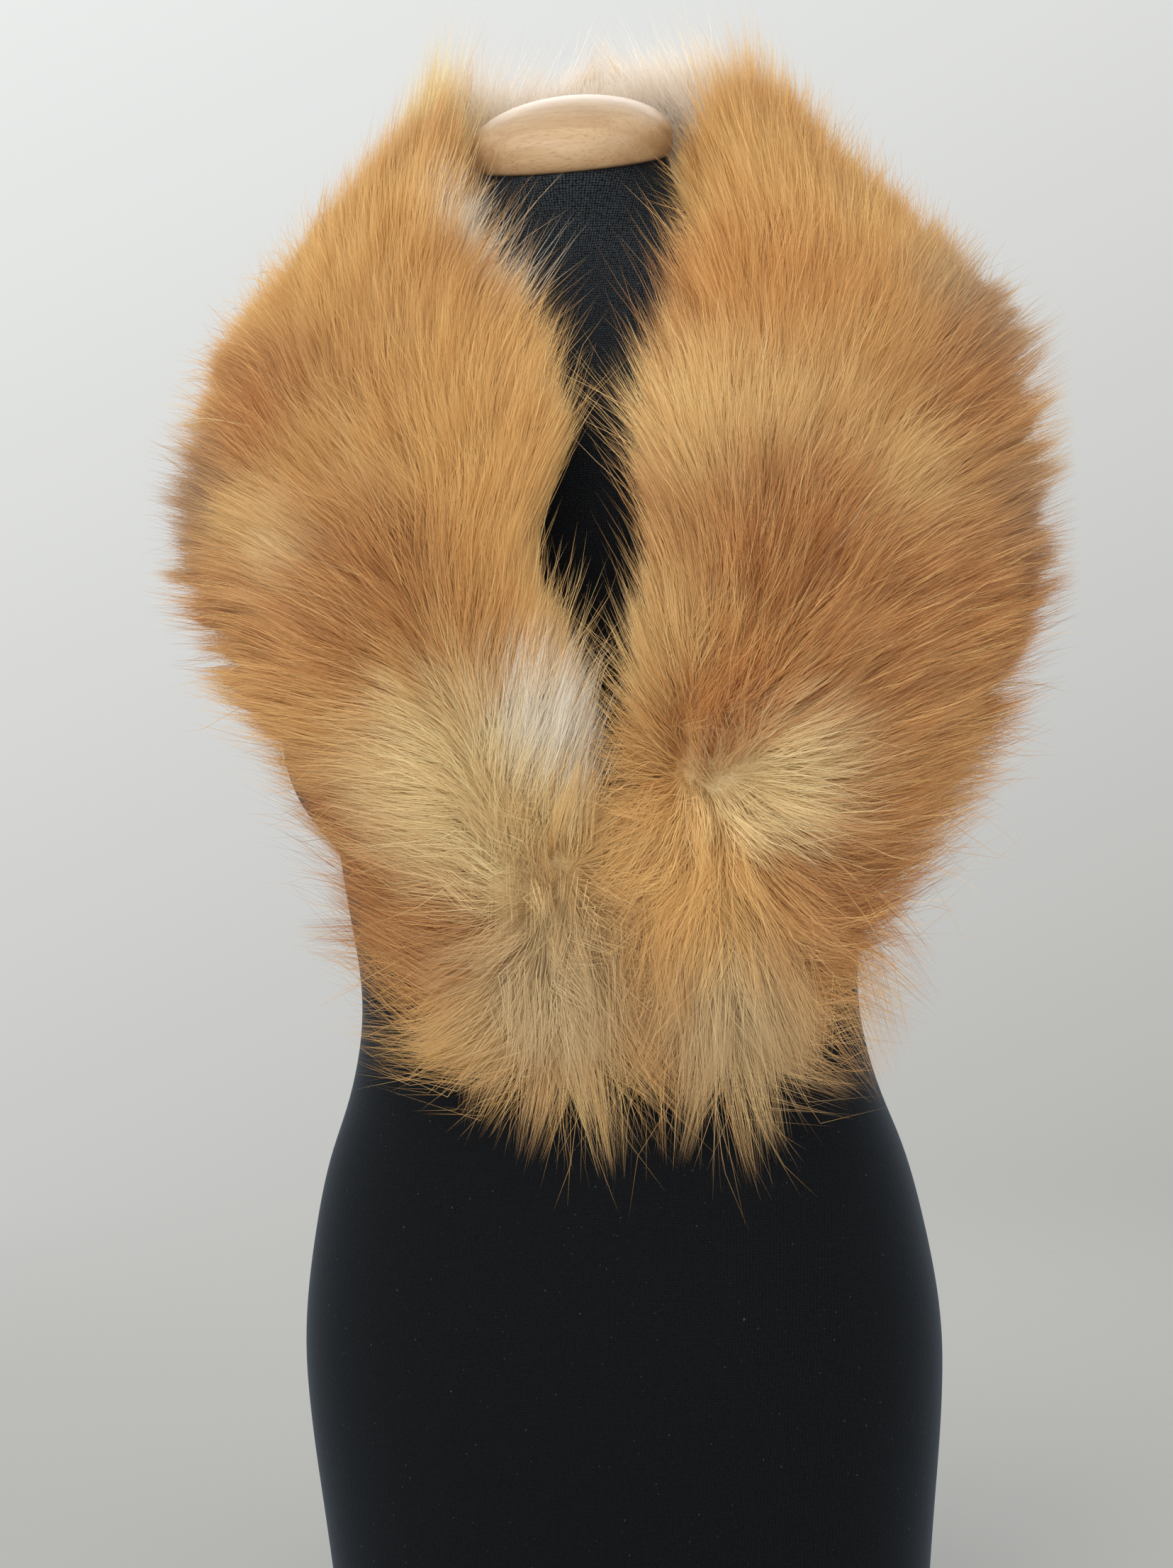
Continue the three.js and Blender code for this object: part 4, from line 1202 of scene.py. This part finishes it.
def ribbonMesh(hair, path, normal, colours, source):
    # each hair is a flat ribbon that tapers to its tip, with its own place in the UV map
    count, places = path.shape[:2]
    steps = places - 1
    along = unit(path[:, 1:] - path[:, :-1])
    tangent = unit(np.concatenate([along[:, :1], along[:, :-1] + along[:, 1:]], axis=1))
    roll = source.normal(0, ribbon["roll"], count)[:, None, None]
    flat = unit(np.cross(tangent, normal[:, None]))
    up = np.cross(flat, tangent)
    across = flat * np.cos(roll) + up * np.sin(roll)
    t = np.linspace(0, 1, places)[:-1]
    inner, outer = ribbon["tipPowers"]
    taper = np.minimum(ribbon["rootWidth"] + ribbon["widening"] * t, 1) * (1 - t**inner) ** outer
    width = hair["width"] * mm * source.uniform(*ribbon["widths"], count)
    half = 0.5 * width[:, None, None] * taper[None, :, None] * across
    points, tones = (np.empty((count, 2 * steps + 1, 3)) for _ in range(2))
    for side, shift in enumerate((-half, half)):
        points[:, side : 2 * steps : 2] = path[:, :-1] + shift
        tones[:, side : 2 * steps : 2] = colours[:, :-1]
    points[:, -1] = path[:, -1]
    tones[:, -1] = colours[:, -1]

    corner = []
    for k in range(steps - 1):
        corner += [2 * k, 2 * k + 1, 2 * k + 3, 2 * k + 2]
    corner += [2 * steps - 2, 2 * steps - 1, 2 * steps]
    corner = np.array(corner)
    corners = (corner[None] + (2 * steps + 1) * np.arange(count)[:, None]).ravel()
    faceSize = np.tile([4] * (steps - 1) + [3], count)
    mesh = bpy.data.meshes.new(hair["name"])
    mesh.vertices.add(count * (2 * steps + 1))
    mesh.vertices.foreach_set("co", points.ravel())
    mesh.loops.add(len(corners))
    mesh.loops.foreach_set("vertex_index", corners)
    mesh.polygons.add(len(faceSize))
    mesh.polygons.foreach_set("loop_start", np.concatenate([[0], np.cumsum(faceSize)[:-1]]))
    mesh.polygons.foreach_set("use_smooth", np.ones(len(faceSize), dtype=bool))

    columns = int(math.ceil(math.sqrt(count * ribbon["uvAspect"])))
    lines = int(math.ceil(count / columns))
    place = np.arange(count)
    left, bottom = (place % columns) / columns, (place // columns) / lines
    v = np.repeat(np.linspace(0, 1, places), 2)[: 2 * steps + 1]
    u = np.array([*ribbon["uvSides"]] * steps + [0.5])
    start, height = ribbon["uvEnds"]
    uv = np.empty((count, 2 * steps + 1, 2))
    uv[..., 0] = left[:, None] + u[None] / columns
    uv[..., 1] = bottom[:, None] + (start + height * v[None]) / lines
    layer = mesh.uv_layers.new(name="hair")
    layer.data.foreach_set("uv", uv.reshape(-1, 2)[corners].ravel())
    mesh.update()
    setColours(mesh, tones.reshape(-1, 3))
    return mesh


furLook = {
    "sheen": "#F3DDBB",
    "sheenRoughness": 0.5,
    "woolPerMetre": 260,
    "woolDepth": 2 * mm,
    "paintedGapShade": 0.82,  # painted shade: the base is darker than the hairs over it, so the gaps between them look deep
}


def furMaterial(name, roughness, sheen, seeThrough):
    # red fox hair: keratin, smooth and slightly glossy, coloured along each hair, and light comes through
    material, shader = newMaterial(name, Roughness=roughness, IOR=1.55, Specular_IOR_Level=0.35)
    shader.inputs["Sheen Weight"].default_value = sheen
    shader.inputs["Sheen Roughness"].default_value = furLook["sheenRoughness"]
    shader.inputs["Sheen Tint"].default_value = rgba(furLook["sheen"])
    tone = addNode(material, "Attribute", attribute_name="furTone")
    link(material, tone.outputs["Color"], shader.inputs["Base Color"])
    through = addNode(material, "BsdfTranslucent", links={"Color": tone.outputs["Color"]})
    both = addNode(material, "MixShader", {0: seeThrough}, {1: shader.outputs[0], 2: through.outputs[0]})
    link(material, both.outputs[0], material.node_tree.nodes["Material Output"].inputs["Surface"])
    return material


def baseMaterial():
    # fox underfur: dense crimped wool, matt, in paler and darker flocks
    material, shader = newMaterial("dense fox underfur", Roughness=0.95, Specular_IOR_Level=0.15)
    tone = addNode(material, "Attribute", attribute_name="furTone")
    place = addNode(material, "TexCoord")
    wool = addNode(
        material, "TexNoise", {"Scale": furLook["woolPerMetre"], "Detail": 4, "Distortion": 1.2},
        {"Vector": place.outputs["Object"]},
    )
    shade = addNode(material, "MapRange", {"To Min": 0.7, "To Max": 1.1}, {"Value": wool.outputs["Fac"]})
    shaded = addNode(
        material, "VectorMath", links={0: tone.outputs["Color"], "Scale": shade.outputs[0]}, operation="SCALE"
    )
    bump = addNode(
        material, "Bump", {"Strength": 0.8, "Distance": furLook["woolDepth"]}, {"Height": wool.outputs["Fac"]}
    )
    link(material, shaded.outputs["Vector"], shader.inputs["Base Color"])
    link(material, bump.outputs[0], shader.inputs["Normal"])
    return material


baseLumps = {"share": 0.07, "size": 30 * mm}
baseLeast = 0.6 * mm  # the base starts this far above the leather's underside


def bandPoints(pelt):
    # the points of the leather's own mesh, closer together at both edges
    rows = np.linspace(0, 1, bandMesh["along"] + 1)
    columns = (1 - np.cos(np.pi * np.linspace(0, 1, bandMesh["across"] + 1))) / 2
    a, c = (x.ravel() for x in np.meshgrid(rows, columns, indexing="ij"))
    normal = unit(sample(pelt["normal"], a, c))
    return a, c, sample(pelt["leather"], a, c), normal, (len(rows), len(columns), 3)


def addLeather(pelt, material):
    _, _, underside, normal, shape = bandPoints(pelt)
    hairSide = (underside + normal * skinThickness).reshape(shape)
    underside = underside.reshape(shape)
    hairSide[:, 0], hairSide[:, -1] = underside[:, 0], underside[:, -1]
    hairSide[0, :, 0] = pelt["side"] * seamGap
    skin = wrapBand(f"pelt_leather_{pelt['name']}", underside, hairSide)
    skin.data.materials.append(material)
    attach(skin, "root")


def addFurBase(pelt, material):
    # a dense body under the hairs, so that no gap shows between them
    name = pelt["name"]
    a, c, leather, normal, shape = bandPoints(pelt)
    depth = furDepth(pelt, a, c) * baseShare
    depth = depth * (1 + baseLumps["share"] * ripple(leather, baseLumps["size"], pelt["seed"]))
    inner = np.maximum(np.minimum(depth, baseLeast), 0)
    lower = (leather + normal * inner[:, None]).reshape(shape)
    upper = (leather + normal * depth[:, None]).reshape(shape)
    for grid in (lower, upper):
        keepToOwnSide(grid, pelt["side"])
        grid[0, :, 0] = pelt["side"] * seamGap
    base = wrapBand(f"fur_base_{name}", lower, upper)
    points = np.empty(len(base.data.vertices) * 3)
    base.data.vertices.foreach_get("co", points)
    # painted shade: the base takes the fur's colour, darkened as if in shadow under the hairs
    setColours(base.data, furColour(points.reshape(-1, 3), name) * furLook["paintedGapShade"])
    base.data.materials.append(material)
    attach(base, "root")
    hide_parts(f"pelt_{name}")


def addPelt(pelt, formTree, capTree, materials):
    layLeather(pelt, formTree, capTree)
    addLeather(pelt, materials["leather"])
    addFurBase(pelt, materials["base"])
    growFur(pelt, underFur, materials["underFur"], formTree, capTree)
    for hair in (guardHair, longHair, strayHair):
        growFur(pelt, hair, materials["guardHair"], formTree, capTree)
    growCollarHair(pelt, materials["underFur"], formTree, capTree)


addCamera()
addRoom()
addLamps()
bpy.context.scene.view_settings.view_transform = "Standard"
print("camera, room and lamps are set")

dressForm = addDressForm()
neckCap = addNeckCap()
formTree = BVHTree.FromObject(dressForm, bpy.context.evaluated_depsgraph_get())
capTree = BVHTree.FromObject(neckCap, bpy.context.evaluated_depsgraph_get())
print("dress form and cap are made")

peltMaterials = {
    "leather": leatherMaterial(),
    "base": baseMaterial(),
    "underFur": furMaterial("fox underfur strands", roughness=0.75, sheen=0.2, seeThrough=0.3),
    "guardHair": furMaterial("fox guard hair", roughness=0.5, sheen=0.12, seeThrough=0.25),
}
addPelt(leftPelt, formTree, capTree, peltMaterials)
addPelt(rightPelt, formTree, capTree, peltMaterials)
print("both pelts are made")

startPiece()
